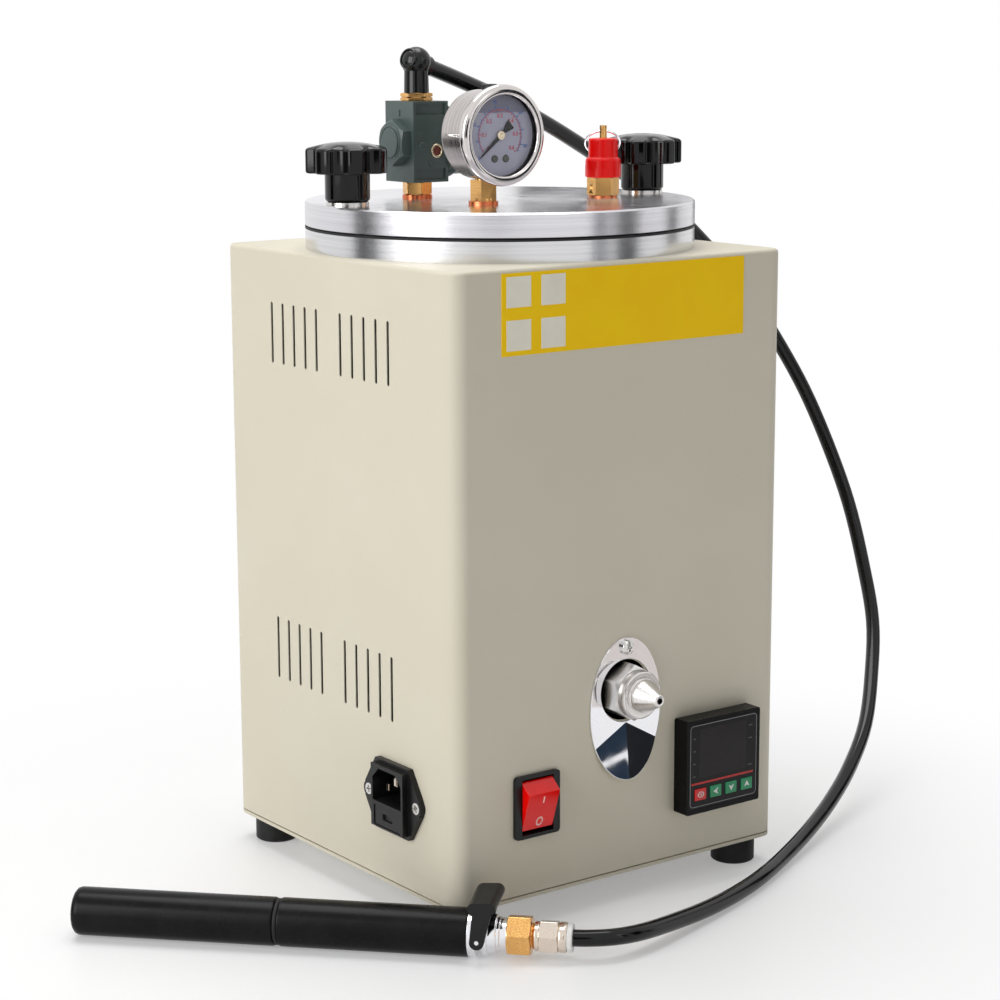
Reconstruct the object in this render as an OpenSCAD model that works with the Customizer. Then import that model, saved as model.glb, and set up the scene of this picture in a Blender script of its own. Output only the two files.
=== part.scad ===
// Jewelry wax injector. Millimetres, Z up, the front panel faces -Y.

/* [Case] */
// Width of the case, left to right
case_w = 200; // [150:5:300]
// Depth of the case, front to back
case_d = 200; // [150:5:300]
// Height of the case above its feet
case_h = 300; // [200:5:400]
// Thickness of the sheet steel
sheet = 1.2; // [0.8:0.1:2]
// Outside radius of the upright bends
corner_r = 8; // [3:0.5:20]
// Outside radius of the bends round the top
top_edge_r = 2; // [1.3:0.1:4]
// Width of the flange turned in at the bottom
return_w = 24; // [20:1:40]
// Thickness of the lip of the base plate
base_lip_t = 1.7; // [1:0.1:3]
// Height of the dark step between lip and case
base_step_t = 0.7; // [0.3:0.1:2]
// How far the step stands back from the lip
base_step_in = 2; // [1:0.5:6]
// Diameter of a rubber foot
foot_d = 22.3; // [14:0.1:40]
// Height of a rubber foot
foot_h = 14; // [6:1:30]
// Distance of a foot's centre from the two edges of the case
foot_inset = 15; // [12:1:40]
// Width of a vent slot
vent_w = 2; // [1:0.1:5]
// Distance between vent slots
vent_pitch = 10.2; // [5:0.1:20]
// Number of slots in a group of vents
vent_count = 5; // [2:1:8]
// Depth position of the first slot of the front group
vent_front_y = 52; // [30:1:80]
// Depth position of the first slot of the rear group
vent_rear_y = 114; // [100:1:140]

/* [Wax pot and lid] */
// Outside radius of the pot
pot_r = 80; // [60:1:90]
// Wall thickness of the pot
pot_wall = 4; // [2:0.5:8]
// Thickness of the pot's floor
pot_floor_t = 8; // [4:0.5:15]
// Height of the pot's underside above the case's floor
pot_bottom_z = 76; // [60:1:84]
// How far the flange and the lid stand out from the pot's side
flange_over = 16.7; // [12:0.1:25]
// Thickness of the pot's flange
flange_t = 10; // [5:0.5:15]
// Thickness of the lid gasket
gasket_t = 1; // [0.5:0.1:3]
// Thickness of the lid
lid_t = 12.2; // [6:0.1:20]
// Distance of a stud's centre from the pot's side
stud_out = 4; // [4:0.5:10]
// Turn of the line through the studs away from the front
stud_angle = -6.8; // [-20:0.1:20]
// Diameter of a stud
stud_d = 8; // [6:1:10]
// Height of a stud above the flange
stud_rise = 30; // [24:1:36]
// Height of the heater band
heater_h = 60; // [30:1:120]

/* [Star knobs] */
// Radius of a star knob
knob_r = 20; // [15:0.5:30]
// Number of lobes
knob_lobes = 7; // [5:1:9]
// Radius of the scallop between two lobes
knob_scallop_r = 4.5; // [2:0.1:7]
// Diameter of the knob's neck
knob_neck_d = 21.7; // [14:0.1:28]
// Height of the knob's neck
knob_neck_h = 13.7; // [6:0.1:20]
// Height of the knob's rim
knob_rim_h = 12; // [6:0.5:20]
// Height of the dome above the rim
knob_dome_h = 2.9; // [1:0.1:6]

/* [Air fittings] */
// Radius of the screwed tails of the fittings in the lid
tail_r = 4.85; // [3:0.05:8]
// Width across flats of the regulator's hex nipple
nipple_af = 13; // [10:0.5:19]
// Width across flats of the bush on top of the regulator and of the relief valve
bush_af = 14; // [10:0.5:19]
// Radius of the ball of the hose elbow
elbow_ball_r = 7.4; // [5:0.1:12]
// Outside diameter of the air hose
hose_d = 8; // [6:0.5:12]

/* [Regulator] */
// Width of the regulator's block
reg_w = 20.8; // [15:0.1:40]
// Depth of the regulator's block
reg_d = 24.5; // [15:0.1:40]
// Height of the regulator's block
reg_h = 39.6; // [25:0.1:60]
// Width across flats of the end cap
cap_af = 20.3; // [12:0.1:28]
// Radius of the bonnet's flange
bonnet_r = 18.2; // [12:0.1:25]
// Radius of the regulator's hand knob
reg_knob_r = 15.5; // [10:0.1:25]

/* [Gauge] */
// Radius of the bezel
bezel_r = 24; // [18:0.5:32]
// Radius of the gauge's can
can_r = 21.3; // [16:0.1:30]
// Radius of the visible glass
window_r = 19.2; // [14:0.1:26]
// Height of the gauge's centre above the lid
gauge_rise = 33.2; // [30:0.1:50]
// Length of the needle
needle_len = 16; // [10:0.5:20]

/* [Relief valve] */
// Diameter of the lower step of the red cap
relief_d = 18; // [12:0.5:25]
// Diameter of the upper step of the red cap
relief_top_d = 14.7; // [10:0.1:20]
// Diameter of the pull pin
relief_pin_d = 3.6; // [2:0.1:5]
// Outside diameter of the pull ring
relief_ring_d = 18.5; // [12:0.5:30]
// Travel of the pull pin
relief_travel = 3; // [1:0.5:5]

/* [Nozzle] */
// Height of the nozzle's axis above the pot's floor
nozzle_up = 9; // [9:0.5:40]
// Width across flats of the outlet body
outlet_af = 24.2; // [18:0.1:30]
// Height of the boss on the pot that carries the outlet body
boss_rise = 6; // [3:0.5:12]
// Length of the outlet body in front of that boss
outlet_len = 23.5; // [20:0.5:40]
// Radius of the nozzle's shank
shank_r = 9.5; // [6:0.1:11]
// Radius of the nozzle's disc
nozzle_disc_r = 11.7; // [9:0.1:16]
// Distance of the nozzle's tip from the outlet body's front
nozzle_reach = 17.4; // [12:0.1:30]
// How deep the nozzle's shank sits in the outlet body
shank_in = 15.5; // [12:0.5:18]
// Travel of the nozzle
nozzle_travel = 2.2; // [1:0.1:3]
// Radius of the orifice
orifice_r = 1.5; // [0.8:0.1:3]
// Width of the drip plate
drip_w = 43.4; // [35:0.1:60]
// Height of the drip plate
drip_h = 70.3; // [50:0.1:90]
// Thickness of the drip plate
drip_t = 1.4; // [0.8:0.1:2.5]
// Radius of the hole in the drip plate
drip_hole_r = 15.5; // [14:0.1:18]

/* [Power switch] */
// Width of the switch frame
switch_w = 26.5; // [20:0.5:35]
// Height of the switch frame
switch_h = 31; // [25:0.5:40]
// How far the switch frame stands out
switch_out = 2; // [1:0.1:4]
// Tilt of the rocker to each side
rocker_tilt = 18; // [8:1:22]

/* [Temperature controller] */
// Side of the controller's square bezel
ctl_side = 48; // [40:0.5:72]
// How far the bezel stands out
ctl_out = 9.7; // [4:0.1:15]
// Depth of the housing behind the panel
ctl_depth = 90; // [50:1:110]
// Width of a key
key_w = 7.5; // [5:0.1:10]
// Height of a key
key_h = 6.2; // [4:0.1:9]
// Travel of a key
key_travel = 0.5; // [0.2:0.1:1]

/* [Mains inlet] */
// Depth position of the inlet's centre
inlet_y = 48.7; // [40:0.1:80]
// Height of the inlet's centre above the case's floor
inlet_z = 45.5; // [30:0.5:80]
// Distance between the inlet's screws
inlet_screws = 40; // [36:0.5:50]
// Travel of the fuse drawer
drawer_travel = 18; // [8:1:20]

/* [Hand pump] */
// Outside radius of the pump's handle and sleeve
pump_r = 11.4; // [9:0.1:16]
// Length of the handle
handle_len = 96.6; // [60:0.1:120]
// Where the sleeve begins
sleeve_start = 102.9; // [70:0.1:130]
// Where the sleeve ends and the head begins
sleeve_end = 191.9; // [150:0.1:240]
// Stroke of the handle
pump_stroke = 70; // [30:1:80]
// Direction in which the pump lies on the floor
pump_angle = -45.6; // [-90:0.1:0]

/* [Hidden] */
$fn = 64;
// Fits and clearances
slide_fit = 0.05;
clear_fit = 0.3;
snug = 0.1;
eps = 0.01;
// Where the case's front left bottom corner stands in the part's frame
case_x = -29.655;
case_y = -73.5;
base_h = base_lip_t + base_step_t;
mid_x = case_w / 2;
mid_y = case_d / 2;
// Heights of the stack on the case
flange_z = case_h;
gasket_z = flange_z + flange_t;
lid_z = gasket_z + gasket_t;
lid_top = lid_z + lid_t;
// Places of the air fittings on the lid, from its centre
reg_at = [-29, 30];
gauge_at = [-28.3, -25.1];
relief_at = [46.9, -23.4];
copper_t = 1.8;
copper_gauge_t = 1.5;
copper_relief_t = 1;
washer_t = 1.6;
stud_floor = 2;
flange_r = pot_r + flange_over;
stud_circle_r = pot_r + stud_out;
flange_screw_r = pot_r + 10;
probe_back = 40;
// Rows of vents, each from its lower to its upper end
vent_rows = [[243.5, 274], [82, 114]];
// Front label
label_x = 27;
label_w = 145.9;
label_h = 37.6;
label_t = 0.3;
label_down = 2;
// Regulator
nipple_h = 6.6;
reg_z = lid_top + copper_t + nipple_h;
reg_top = reg_z + reg_h;
reg_axis_z = reg_z + 19.4;
bush_h = 4;
elbow_stem_h = 9.8;
elbow_z = reg_top + bush_h + 15;
elbow_dir = [0.938, 0.202, -0.282];
elbow_reach = 8.2;
bonnet_flange = 6;
bonnet_len = 22;
reg_knob_len = 18;
// Gauge
gauge_z = lid_top + gauge_rise;
gauge_x = mid_x - 28;
bezel_y = mid_y - 43;
can_back_y = bezel_y + 24.1;
can_wall = 1;
dial_y = bezel_y + 5.5;
dial_t = 0.4;
dial_r = 19.9;
dial_screw_x = 3.3;
dial_screw_y = 11;
spindle_r = 0.75;
socket_side = 9;
socket_top = gauge_z - can_r - 0.2;
neck_rise = 7.6;
plug_y = bezel_y + 13;
// Relief valve
relief_hex_h = 9;
relief_hex_z = lid_top + copper_relief_t;
relief_cap_z = relief_hex_z + relief_hex_h;
relief_step_h = 9.5;
relief_cap_h = 19.2;
relief_cap_top = relief_cap_z + relief_cap_h;
ring_hole_z = relief_cap_top + 3.6;
relief_pin_top = relief_cap_top + 6.4;
ring_wire_r = 0.55;
ring_lean = 45;
ring_turn = 53.6;
relief_plate_z = relief_cap_z + 7;
// Nozzle: distances from the front panel, outwards
nozzle_z = pot_bottom_z + pot_floor_t + nozzle_up;
pot_boss_out = pot_r - mid_y + boss_rise;
outlet_out = pot_boss_out + outlet_len;
nozzle_tip_out = outlet_out + nozzle_reach;
shank_end = outlet_out - shank_in;
cavity_depth = 14;
nozzle_disc_out = outlet_out + 2.3;
nozzle_cone_out = nozzle_disc_out + 2.2;
chamber_end = pot_boss_out + 1.7;
spring_from = chamber_end + nozzle_travel + snug;
// Drip plate
drip_z = nozzle_z - 9;
drip_fold_z = drip_z - 7;
drip_screw_z = nozzle_z + 21.2;
fold_rise = 3 / 28;
fold_side = 0.06;
// Switch
switch_x = 46.25;
switch_z = 45.8;
rocker_pivot_in = 2.4;
rocker_w = 18.2;
switch_open_w = 18.6;
switch_open_h = 27.2;
// Controller
ctl_right = 20;
ctl_x = case_w - ctl_right - ctl_side;
ctl_z = 25;
ctl_body = 44.5;
ctl_cutout = 45.2;
plate_x0 = 1.5;
plate_z0 = 2.7;
plate_w = 44;
plate_h = 43.3;
plate_t = 1.4;
key_z = 9.9;
key_places = [8.9, 18.8, 28.9, 39.2];
key_out = 0.6;
// Inlet
inlet_flange_t = 3;
inlet_out = 6;
inlet_body_w = 27;
inlet_body_h = 32.4;
inlet_depth = 24;
socket_w = 24;
socket_h = 16.4;
socket_up = 5.5;
socket_deep = 16;
drawer_w = 22;
drawer_h = 10;
drawer_down = -9.7;
pin_recess = 5;
ear_r = 4.2;
// Pump: distances along its axis from the handle's end
pump_x = case_x - 136.68;
pump_y = case_y + 123.03;
barrel_r = 9.4;
barrel_start = 12;
rod_r = 3;
rod_start = 2.5;
piston_r = 7.9;
piston_t = 6;
piston_at = sleeve_end - 13.9;
head_ring_end = 195.7;
groove_end = 198.5;
head_end = 209.7;
union_end = 221;
nut_start = 222.2;
nut_end = 237.5;
collar_end = 240;
union_af = 17;
nut_af = 14;
lever_at = 197.1;
pump_dir = [cos(pump_angle), sin(pump_angle), 0];
pump_end = [pump_x, pump_y, pump_r] + (collar_end + snug) * pump_dir;
// Hose: where it leaves the elbow, and the points it runs through, from the case's corner on the floor
elbow_centre = [case_x + mid_x + reg_at[0], case_y + mid_y + reg_at[1], foot_h + elbow_z];
hose_start = elbow_centre + (elbow_reach + snug) * elbow_dir;
hose_points = [
    [105, 138, 394], [138, 145, 383], [171, 152, 370], [203, 157, 355], [235, 161, 339],
    [266, 163, 320], [294, 164, 298], [320, 162, 273], [341, 158, 244], [358, 151, 213],
    [368, 140, 180], [372, 126, 147], [369, 110, 114], [359, 91, 85], [341, 73, 60],
    [318, 54, 39], [290, 37, 24], [260, 21, 14], [228, 5, 7.6], [196, -11, 4.8],
    [168, -25, 4.3], [146, -34, 4.3], [126, -41, 4.8], [108, -46.5, 5.7], [92, -51, 7],
    [78, -55, 8.4], [66, -58, 9.7], [56, -59, 10.6], [47, -58, 11.2], [39, -54.5, 11.4]
];
hose_route = [for (p = hose_points) p + [case_x, case_y, 0]];
hose_steps = 2;

// Helpers

// Puts its children in the case's own frame
module in_case() {
    translate([case_x, case_y, foot_h]) children();
}

// Local Z points out of the front panel, local Y up
module on_front(x, z) {
    in_case() translate([x, 0, z]) rotate([90, 0, 0]) children();
}

// Local Z points out of the left side, local X up
module on_left(y, z) {
    in_case() translate([0, y, z]) rotate([0, -90, 0]) children();
}

// Local Z runs along the pump from the handle's end, local -X points up
module in_pump() {
    translate([pump_x, pump_y, pump_r]) rotate([0, 0, pump_angle]) rotate([0, 90, 0]) children();
}

// Puts its children on the lid, at a place measured from its centre
module on_lid(at, z) {
    in_case() translate([mid_x + at[0], mid_y + at[1], z]) children();
}

module rounded_slab(w, d, h, r) {
    translate([r, 0, 0]) cube([w - 2 * r, d, h]);
    translate([0, r, 0]) cube([w, d - 2 * r, h]);
    for (x = [r, w - r], y = [r, d - r]) translate([x, y, 0]) cylinder(h = h, r = r);
}

module hex_prism(af, h) {
    rotate(30) cylinder(h = h, d = af / cos(30), $fn = 6);
}

// A hexagon whose corners are turned off at one or both ends
module hex_nut(af, h, low = true, high = true) {
    intersection() {
        hex_prism(af, h);
        union() {
            if (low) cylinder(h = h / 2, d1 = af * 1.02, d2 = af * 1.02 + h * 1.6);
            else cylinder(h = h / 2, d = 2 * af);
            translate([0, 0, h / 2]) {
                if (high) cylinder(h = h / 2, d1 = af * 1.02 + h * 1.6, d2 = af * 1.02);
                else cylinder(h = h / 2, d = 2 * af);
            }
        }
    }
}

module ring(r_out, r_in, h) {
    difference() {
        cylinder(h = h, r = r_out);
        translate([0, 0, -1]) cylinder(h = h + 2, r = r_in);
    }
}

// A slot with round ends, cut through both side walls
module vent(y, z0, z1) {
    translate([-1, y - vent_w / 2, z0 + vent_w / 2]) cube([case_w + 2, vent_w, z1 - z0 - vent_w]);
    for (z = [z0 + vent_w / 2, z1 - vent_w / 2]) {
        translate([-1, y, z]) rotate([0, 90, 0]) cylinder(h = case_w + 2, d = vent_w);
    }
}

module at_feet() {
    for (x = [foot_inset, case_w - foot_inset], y = [foot_inset, case_d - foot_inset]) {
        translate([x, y, 0]) children();
    }
}

module at_studs() {
    for (side = [0, 180]) {
        in_case() translate([mid_x, mid_y, 0]) rotate(stud_angle + side)
            translate([stud_circle_r, 0, 0]) children();
    }
}

module at_flange_screws() {
    for (a = [45 : 90 : 315]) {
        in_case() translate([mid_x, mid_y, 0]) rotate(a) translate([flange_screw_r, 0, 0]) children();
    }
}

// A tube of round section swept through a list of points
function unit(v) = v / norm(v);
function spline(a, b, c, d, t) =
    0.5 * (2 * b + (c - a) * t + (2 * a - 5 * b + 4 * c - d) * t * t + (3 * b - a - 3 * c + d) * t * t * t);
function smooth(p, steps) = [
    for (i = [1 : len(p) - 3], s = [0 : steps - 1]) spline(p[i - 1], p[i], p[i + 1], p[i + 2], s / steps),
    p[len(p) - 2]
];
function tangent(p, i) = unit(p[min(i + 1, len(p) - 1)] - p[max(i - 1, 0)]);
function section(centre, along, r, sides) =
    let (side = unit(cross(along, [0, 0, 1])), up = cross(side, along))
    [for (k = [0 : sides - 1]) centre + r * (cos(k * 360 / sides) * up + sin(k * 360 / sides) * side)];
module swept(p, r, sides, first, last) {
    n = len(p);
    rings = [for (i = [0 : n - 1]) section(p[i], i == 0 ? first : i == n - 1 ? last : tangent(p, i), r, sides)];
    points = [for (q = rings, v = q) v];
    walls = [
        for (i = [0 : n - 2], k = [0 : sides - 1], half = [0, 1])
            let (a = i * sides + k, b = i * sides + (k + 1) % sides)
            half == 0 ? [a, b, b + sides] : [a, b + sides, a + sides]
    ];
    front = [for (k = [0 : sides - 1]) sides - 1 - k];
    back = [for (k = [0 : sides - 1]) (n - 1) * sides + k];
    polyhedron(points = points, faces = concat([front], walls, [back]));
}

// A helical spring along Z from its own floor, with closed ends
module spring(mean_r, wire_r, height, turns) {
    per_turn = 14;
    count = turns * per_turn;
    path = [
        for (i = [0 : count])
            let (a = i * 360 / per_turn, share = min(1, max(0, (i / per_turn - 0.8) / (turns - 1.6))))
            [mean_r * cos(a), mean_r * sin(a), wire_r + share * (height - 2 * wire_r)]
    ];
    swept(path, wire_r, 8, unit(path[1] - path[0]), unit(path[count] - path[count - 1]));
}

// Case

// Section of the bend round the top: local X outwards from the corner's centre, local Y up
module top_bend() {
    flat = corner_r - top_edge_r;
    square([flat, top_edge_r]);
    translate([flat, 0]) intersection() {
        circle(r = top_edge_r);
        square(top_edge_r);
    }
}

module case_outside() {
    inner_w = case_w - 2 * corner_r;
    inner_d = case_d - 2 * corner_r;
    translate([0, 0, base_h]) rounded_slab(case_w, case_d, case_h - top_edge_r - base_h, corner_r);
    translate([corner_r, corner_r, case_h - top_edge_r]) cube([inner_w, inner_d, top_edge_r]);
    for (q = [0 : 3]) {
        along = q % 2 == 0 ? inner_d : inner_w;
        out = q % 2 == 0 ? inner_w : inner_d;
        translate([mid_x, mid_y, case_h - top_edge_r]) rotate(q * 90) {
            translate([out / 2, along / 2, 0]) {
                rotate([90, 0, 0]) linear_extrude(along) top_bend();
                rotate_extrude(angle = 90) top_bend();
            }
        }
    }
}

module case_shell() {
    floor_z = base_h + sheet;
    color("#cfc9b4") difference() {
        in_case() case_outside();
        in_case() translate([sheet, sheet, floor_z]) {
            rounded_slab(case_w - 2 * sheet, case_d - 2 * sheet, case_h - sheet - floor_z, corner_r - sheet);
        }
        in_case() translate([return_w, return_w, 0]) {
            cube([case_w - 2 * return_w, case_d - 2 * return_w, floor_z + 1]);
        }
        in_case() translate([mid_x, mid_y, case_h - 5]) cylinder(h = 10, r = pot_r + 1);
        in_case() for (i = [0 : vent_count - 1], y = [vent_front_y, vent_rear_y], row = vent_rows) {
            vent(y + i * vent_pitch, row[0], row[1]);
        }
        on_front(mid_x, nozzle_z) translate([0, 0, -5]) cylinder(h = 10, r = 15);
        on_front(mid_x, drip_screw_z) translate([0, 0, -5]) cylinder(h = 10, r = 2.15);
        on_front(ctl_x + ctl_side / 2, ctl_z + ctl_side / 2) translate([-ctl_cutout / 2, -ctl_cutout / 2, -5]) {
            cube([ctl_cutout, ctl_cutout, 10]);
        }
        on_front(switch_x, switch_z) translate([-11.2, -14.7, -5]) cube([22.4, 29.4, 10]);
        on_left(inlet_y, inlet_z) {
            translate([-inlet_body_h / 2 - clear_fit, -inlet_body_w / 2 - clear_fit, -5]) {
                cube([inlet_body_h + 2 * clear_fit, inlet_body_w + 2 * clear_fit, 10]);
            }
            for (s = [-0.5, 0.5]) translate([0, s * inlet_screws, -5]) cylinder(h = 10, r = 1.65);
        }
        in_case() at_feet() translate([0, 0, -1]) cylinder(h = 10, r = 2.2);
        at_flange_screws() translate([0, 0, case_h - 5]) cylinder(h = 10, r = 2.2);
    }
}

module base_plate() {
    color("#c9c3ad") in_case() difference() {
        union() {
            rounded_slab(case_w, case_d, base_lip_t, corner_r);
            translate([base_step_in, base_step_in, base_lip_t - eps]) {
                rounded_slab(case_w - 2 * base_step_in, case_d - 2 * base_step_in, base_step_t + eps,
                    corner_r - base_step_in);
            }
        }
        at_feet() translate([0, 0, -1]) cylinder(h = 10, r = 2.2);
        for (i = [-3 : 3]) {
            translate([mid_x - 25, mid_y + i * 12 - 2, -1]) cube([50, 4, 10]);
            for (x = [-25, 25]) translate([mid_x + x, mid_y + i * 12, -1]) cylinder(h = 10, r = 2);
        }
    }
}

module rubber_feet() {
    color("#1b1b1c") in_case() at_feet() difference() {
        union() {
            translate([0, 0, 1 - foot_h]) cylinder(h = foot_h - 1, d = foot_d);
            translate([0, 0, -foot_h]) cylinder(h = 1, d1 = foot_d - 1.6, d2 = foot_d);
        }
        translate([0, 0, -foot_h - 1]) cylinder(h = 9, r = 4.8);
        translate([0, 0, -10]) cylinder(h = 20, r = 2.2);
    }
}

module pan_head(d, h) {
    intersection() {
        cylinder(h = h, d = d);
        translate([0, 0, h - d]) sphere(r = d);
    }
}

module screws() {
    color("#b9b7b0") {
        in_case() at_feet() {
            translate([0, 0, 8 - foot_h]) cylinder(h = foot_h + 1, r = 2);
            translate([0, 0, 8 - foot_h]) mirror([0, 0, 1]) pan_head(8, 2.4);
            translate([0, 0, base_h + sheet]) difference() {
                hex_prism(7, 3.2);
                translate([0, 0, -1]) cylinder(h = 6, r = 2 + slide_fit);
            }
        }
        at_flange_screws() translate([0, 0, case_h - sheet]) {
            cylinder(h = sheet + 6, r = 2);
            mirror([0, 0, 1]) pan_head(8, 2.6);
        }
        on_front(mid_x, drip_screw_z) {
            translate([0, 0, drip_t]) difference() {
                pan_head(7, 2.6);
                for (a = [0, 90]) rotate(a) translate([-1.8, -0.35, 1.5]) cube([3.6, 0.7, 3]);
            }
            translate([0, 0, -7]) cylinder(h = 7 + drip_t + eps, r = 2);
            translate([0, 0, -sheet - 3.2]) difference() {
                hex_prism(7, 3.2);
                translate([0, 0, -1]) cylinder(h = 6, r = 2 + slide_fit);
            }
        }
        on_left(inlet_y, inlet_z) for (s = [-0.5, 0.5]) translate([0, s * inlet_screws, 0]) {
            difference() {
                union() {
                    translate([0, 0, inlet_flange_t - 1.6]) cylinder(h = 1.6, r1 = 1.5, r2 = 2.9);
                    translate([0, 0, -7]) cylinder(h = 7 + inlet_flange_t - 1.6 + eps, r = 1.5);
                }
                for (a = [0, 90]) rotate(a) translate([-1.6, -0.3, inlet_flange_t - 0.7]) cube([3.2, 0.6, 2]);
            }
            translate([0, 0, -sheet - 2.4]) difference() {
                hex_prism(5.5, 2.4);
                translate([0, 0, -1]) cylinder(h = 6, r = 1.5 + slide_fit);
            }
        }
    }
}

// Pot and lid

module wax_pot() {
    color("#c4c4c2") difference() {
        union() {
            in_case() translate([mid_x, mid_y, pot_bottom_z]) cylinder(h = flange_z + 1 - pot_bottom_z, r = pot_r);
            in_case() translate([mid_x, mid_y, flange_z]) cylinder(h = flange_t, r = flange_r);
            on_front(mid_x, nozzle_z) translate([0, 0, pot_boss_out - boss_rise - pot_wall]) {
                cylinder(h = boss_rise + pot_wall, r = 13);
            }
        }
        in_case() translate([mid_x, mid_y, pot_bottom_z + pot_floor_t]) {
            cylinder(h = 400, r = pot_r - pot_wall);
        }
        on_front(mid_x, nozzle_z) translate([0, 0, pot_boss_out - 16]) cylinder(h = 18, r = 8);
        in_case() translate([mid_x, mid_y + probe_back, pot_bottom_z - 1]) cylinder(h = 5.7, r = 3 + slide_fit);
        at_studs() translate([0, 0, flange_z + stud_floor]) cylinder(h = flange_t, d = stud_d + 2 * slide_fit);
        at_flange_screws() translate([0, 0, flange_z - 1]) cylinder(h = 8, r = 2 + slide_fit);
    }
}

module heater_band() {
    color("#a9a59c") in_case() translate([mid_x, mid_y, pot_bottom_z + 32]) {
        difference() {
            ring(pot_r + 2.2, pot_r + 0.2, heater_h);
            translate([-3, pot_r - 5, -1]) cube([6, 15, heater_h + 2]);
        }
        for (s = [-1, 1]) difference() {
            translate([s > 0 ? 3 : -4.5, pot_r + 1, 0]) cube([1.5, 9, heater_h]);
            for (z = [12, heater_h - 12]) {
                translate([-6, pot_r + 6, z]) rotate([0, 90, 0]) cylinder(h = 12, r = 1.6);
            }
        }
    }
}

module thermocouple() {
    color("#b9b7b0") in_case() translate([mid_x, mid_y + probe_back, 0]) {
        translate([0, 0, pot_bottom_z - 6]) cylinder(h = 10.4, r = 3);
        translate([0, 0, pot_bottom_z - 5.2]) hex_prism(10, 5);
        translate([0, 0, pot_bottom_z - 26]) cylinder(h = 21, r = 1.6);
    }
}

module lid_gasket() {
    color("#161616") difference() {
        in_case() translate([mid_x, mid_y, gasket_z]) ring(flange_r, pot_r - 2, gasket_t);
        at_studs() translate([0, 0, gasket_z - 1]) cylinder(h = gasket_t + 2, d = stud_d + 0.6);
    }
}

module lid() {
    edge = 0.8;
    color("#d2d2d0") difference() {
        in_case() translate([mid_x, mid_y, lid_z]) {
            cylinder(h = edge, r1 = flange_r - edge, r2 = flange_r);
            translate([0, 0, edge]) cylinder(h = lid_t - 2 * edge, r = flange_r);
            translate([0, 0, lid_t - edge]) cylinder(h = edge, r1 = flange_r, r2 = flange_r - edge);
        }
        at_studs() translate([0, 0, lid_z - 1]) cylinder(h = lid_t + 2, d = stud_d + 1);
        for (at = [reg_at, gauge_at, relief_at]) {
            on_lid(at, lid_z - 1) cylinder(h = lid_t + 2, r = tail_r + slide_fit);
        }
    }
}

module lid_studs() {
    length = flange_t - stud_floor + stud_rise;
    color("#b9b7b0") at_studs() translate([0, 0, flange_z + stud_floor]) {
        cylinder(h = length - 1, d = stud_d);
        translate([0, 0, length - 1]) cylinder(h = 1, d1 = stud_d, d2 = stud_d - 2);
    }
}

module star_knob() {
    head_z = knob_neck_h;
    full_h = knob_neck_h + knob_rim_h + knob_dome_h;
    dome_r = (knob_r * knob_r + knob_dome_h * knob_dome_h) / (2 * knob_dome_h);
    translate([0, 0, lid_top + washer_t]) difference() {
        union() {
            cylinder(h = 1.5, d1 = knob_neck_d - 3, d2 = knob_neck_d);
            translate([0, 0, 1.5]) cylinder(h = knob_neck_h, d = knob_neck_d);
            difference() {
                intersection() {
                    translate([0, 0, head_z]) cylinder(h = full_h - head_z, r = knob_r);
                    translate([0, 0, full_h - dome_r]) sphere(r = dome_r);
                }
                for (i = [0 : knob_lobes - 1]) rotate(i * 360 / knob_lobes) {
                    translate([knob_r + 0.6, 0, head_z - 1]) cylinder(h = full_h, r = knob_scallop_r);
                }
            }
        }
        translate([0, 0, -1]) cylinder(h = stud_rise - gasket_t - lid_t - washer_t + 3, d = stud_d + 2 * slide_fit);
    }
}

module right_star_knob() {
    color("#141414") in_case() translate([mid_x, mid_y, 0]) rotate(stud_angle) {
        translate([stud_circle_r, 0, 0]) star_knob();
    }
}

module left_star_knob() {
    color("#141414") in_case() translate([mid_x, mid_y, 0]) rotate(stud_angle + 180) {
        translate([stud_circle_r, 0, 0]) star_knob();
    }
}

module knob_washers() {
    color("#c8c8c6") at_studs() translate([0, 0, lid_top]) ring(10.25, stud_d / 2 + 0.4, washer_t);
}

// Air fittings and regulator

module copper_washers() {
    color("#c46a3a") {
        on_lid(reg_at, lid_top) ring(7.5, tail_r + snug, copper_t);
        on_lid(gauge_at, lid_top) ring(7.2, tail_r + snug, copper_gauge_t);
        on_lid(relief_at, lid_top) ring(7.25, tail_r + snug, copper_relief_t);
    }
}

module brass_nipples() {
    color("#d8a850") on_lid(reg_at, 0) {
        difference() {
            union() {
                translate([0, 0, lid_z + 1]) cylinder(h = reg_z + 8 - lid_z, r = tail_r);
                translate([0, 0, lid_top + copper_t]) rotate(12) hex_nut(nipple_af, nipple_h);
            }
            translate([0, 0, lid_z - 1]) cylinder(h = 60, r = 2.5);
        }
        difference() {
            union() {
                translate([0, 0, reg_top - 7]) cylinder(h = 8, r = 5.5);
                translate([0, 0, reg_top]) rotate(25) hex_nut(bush_af, bush_h);
            }
            translate([0, 0, reg_top - 10]) cylinder(h = 20, r = 4 + slide_fit);
        }
    }
}

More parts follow.
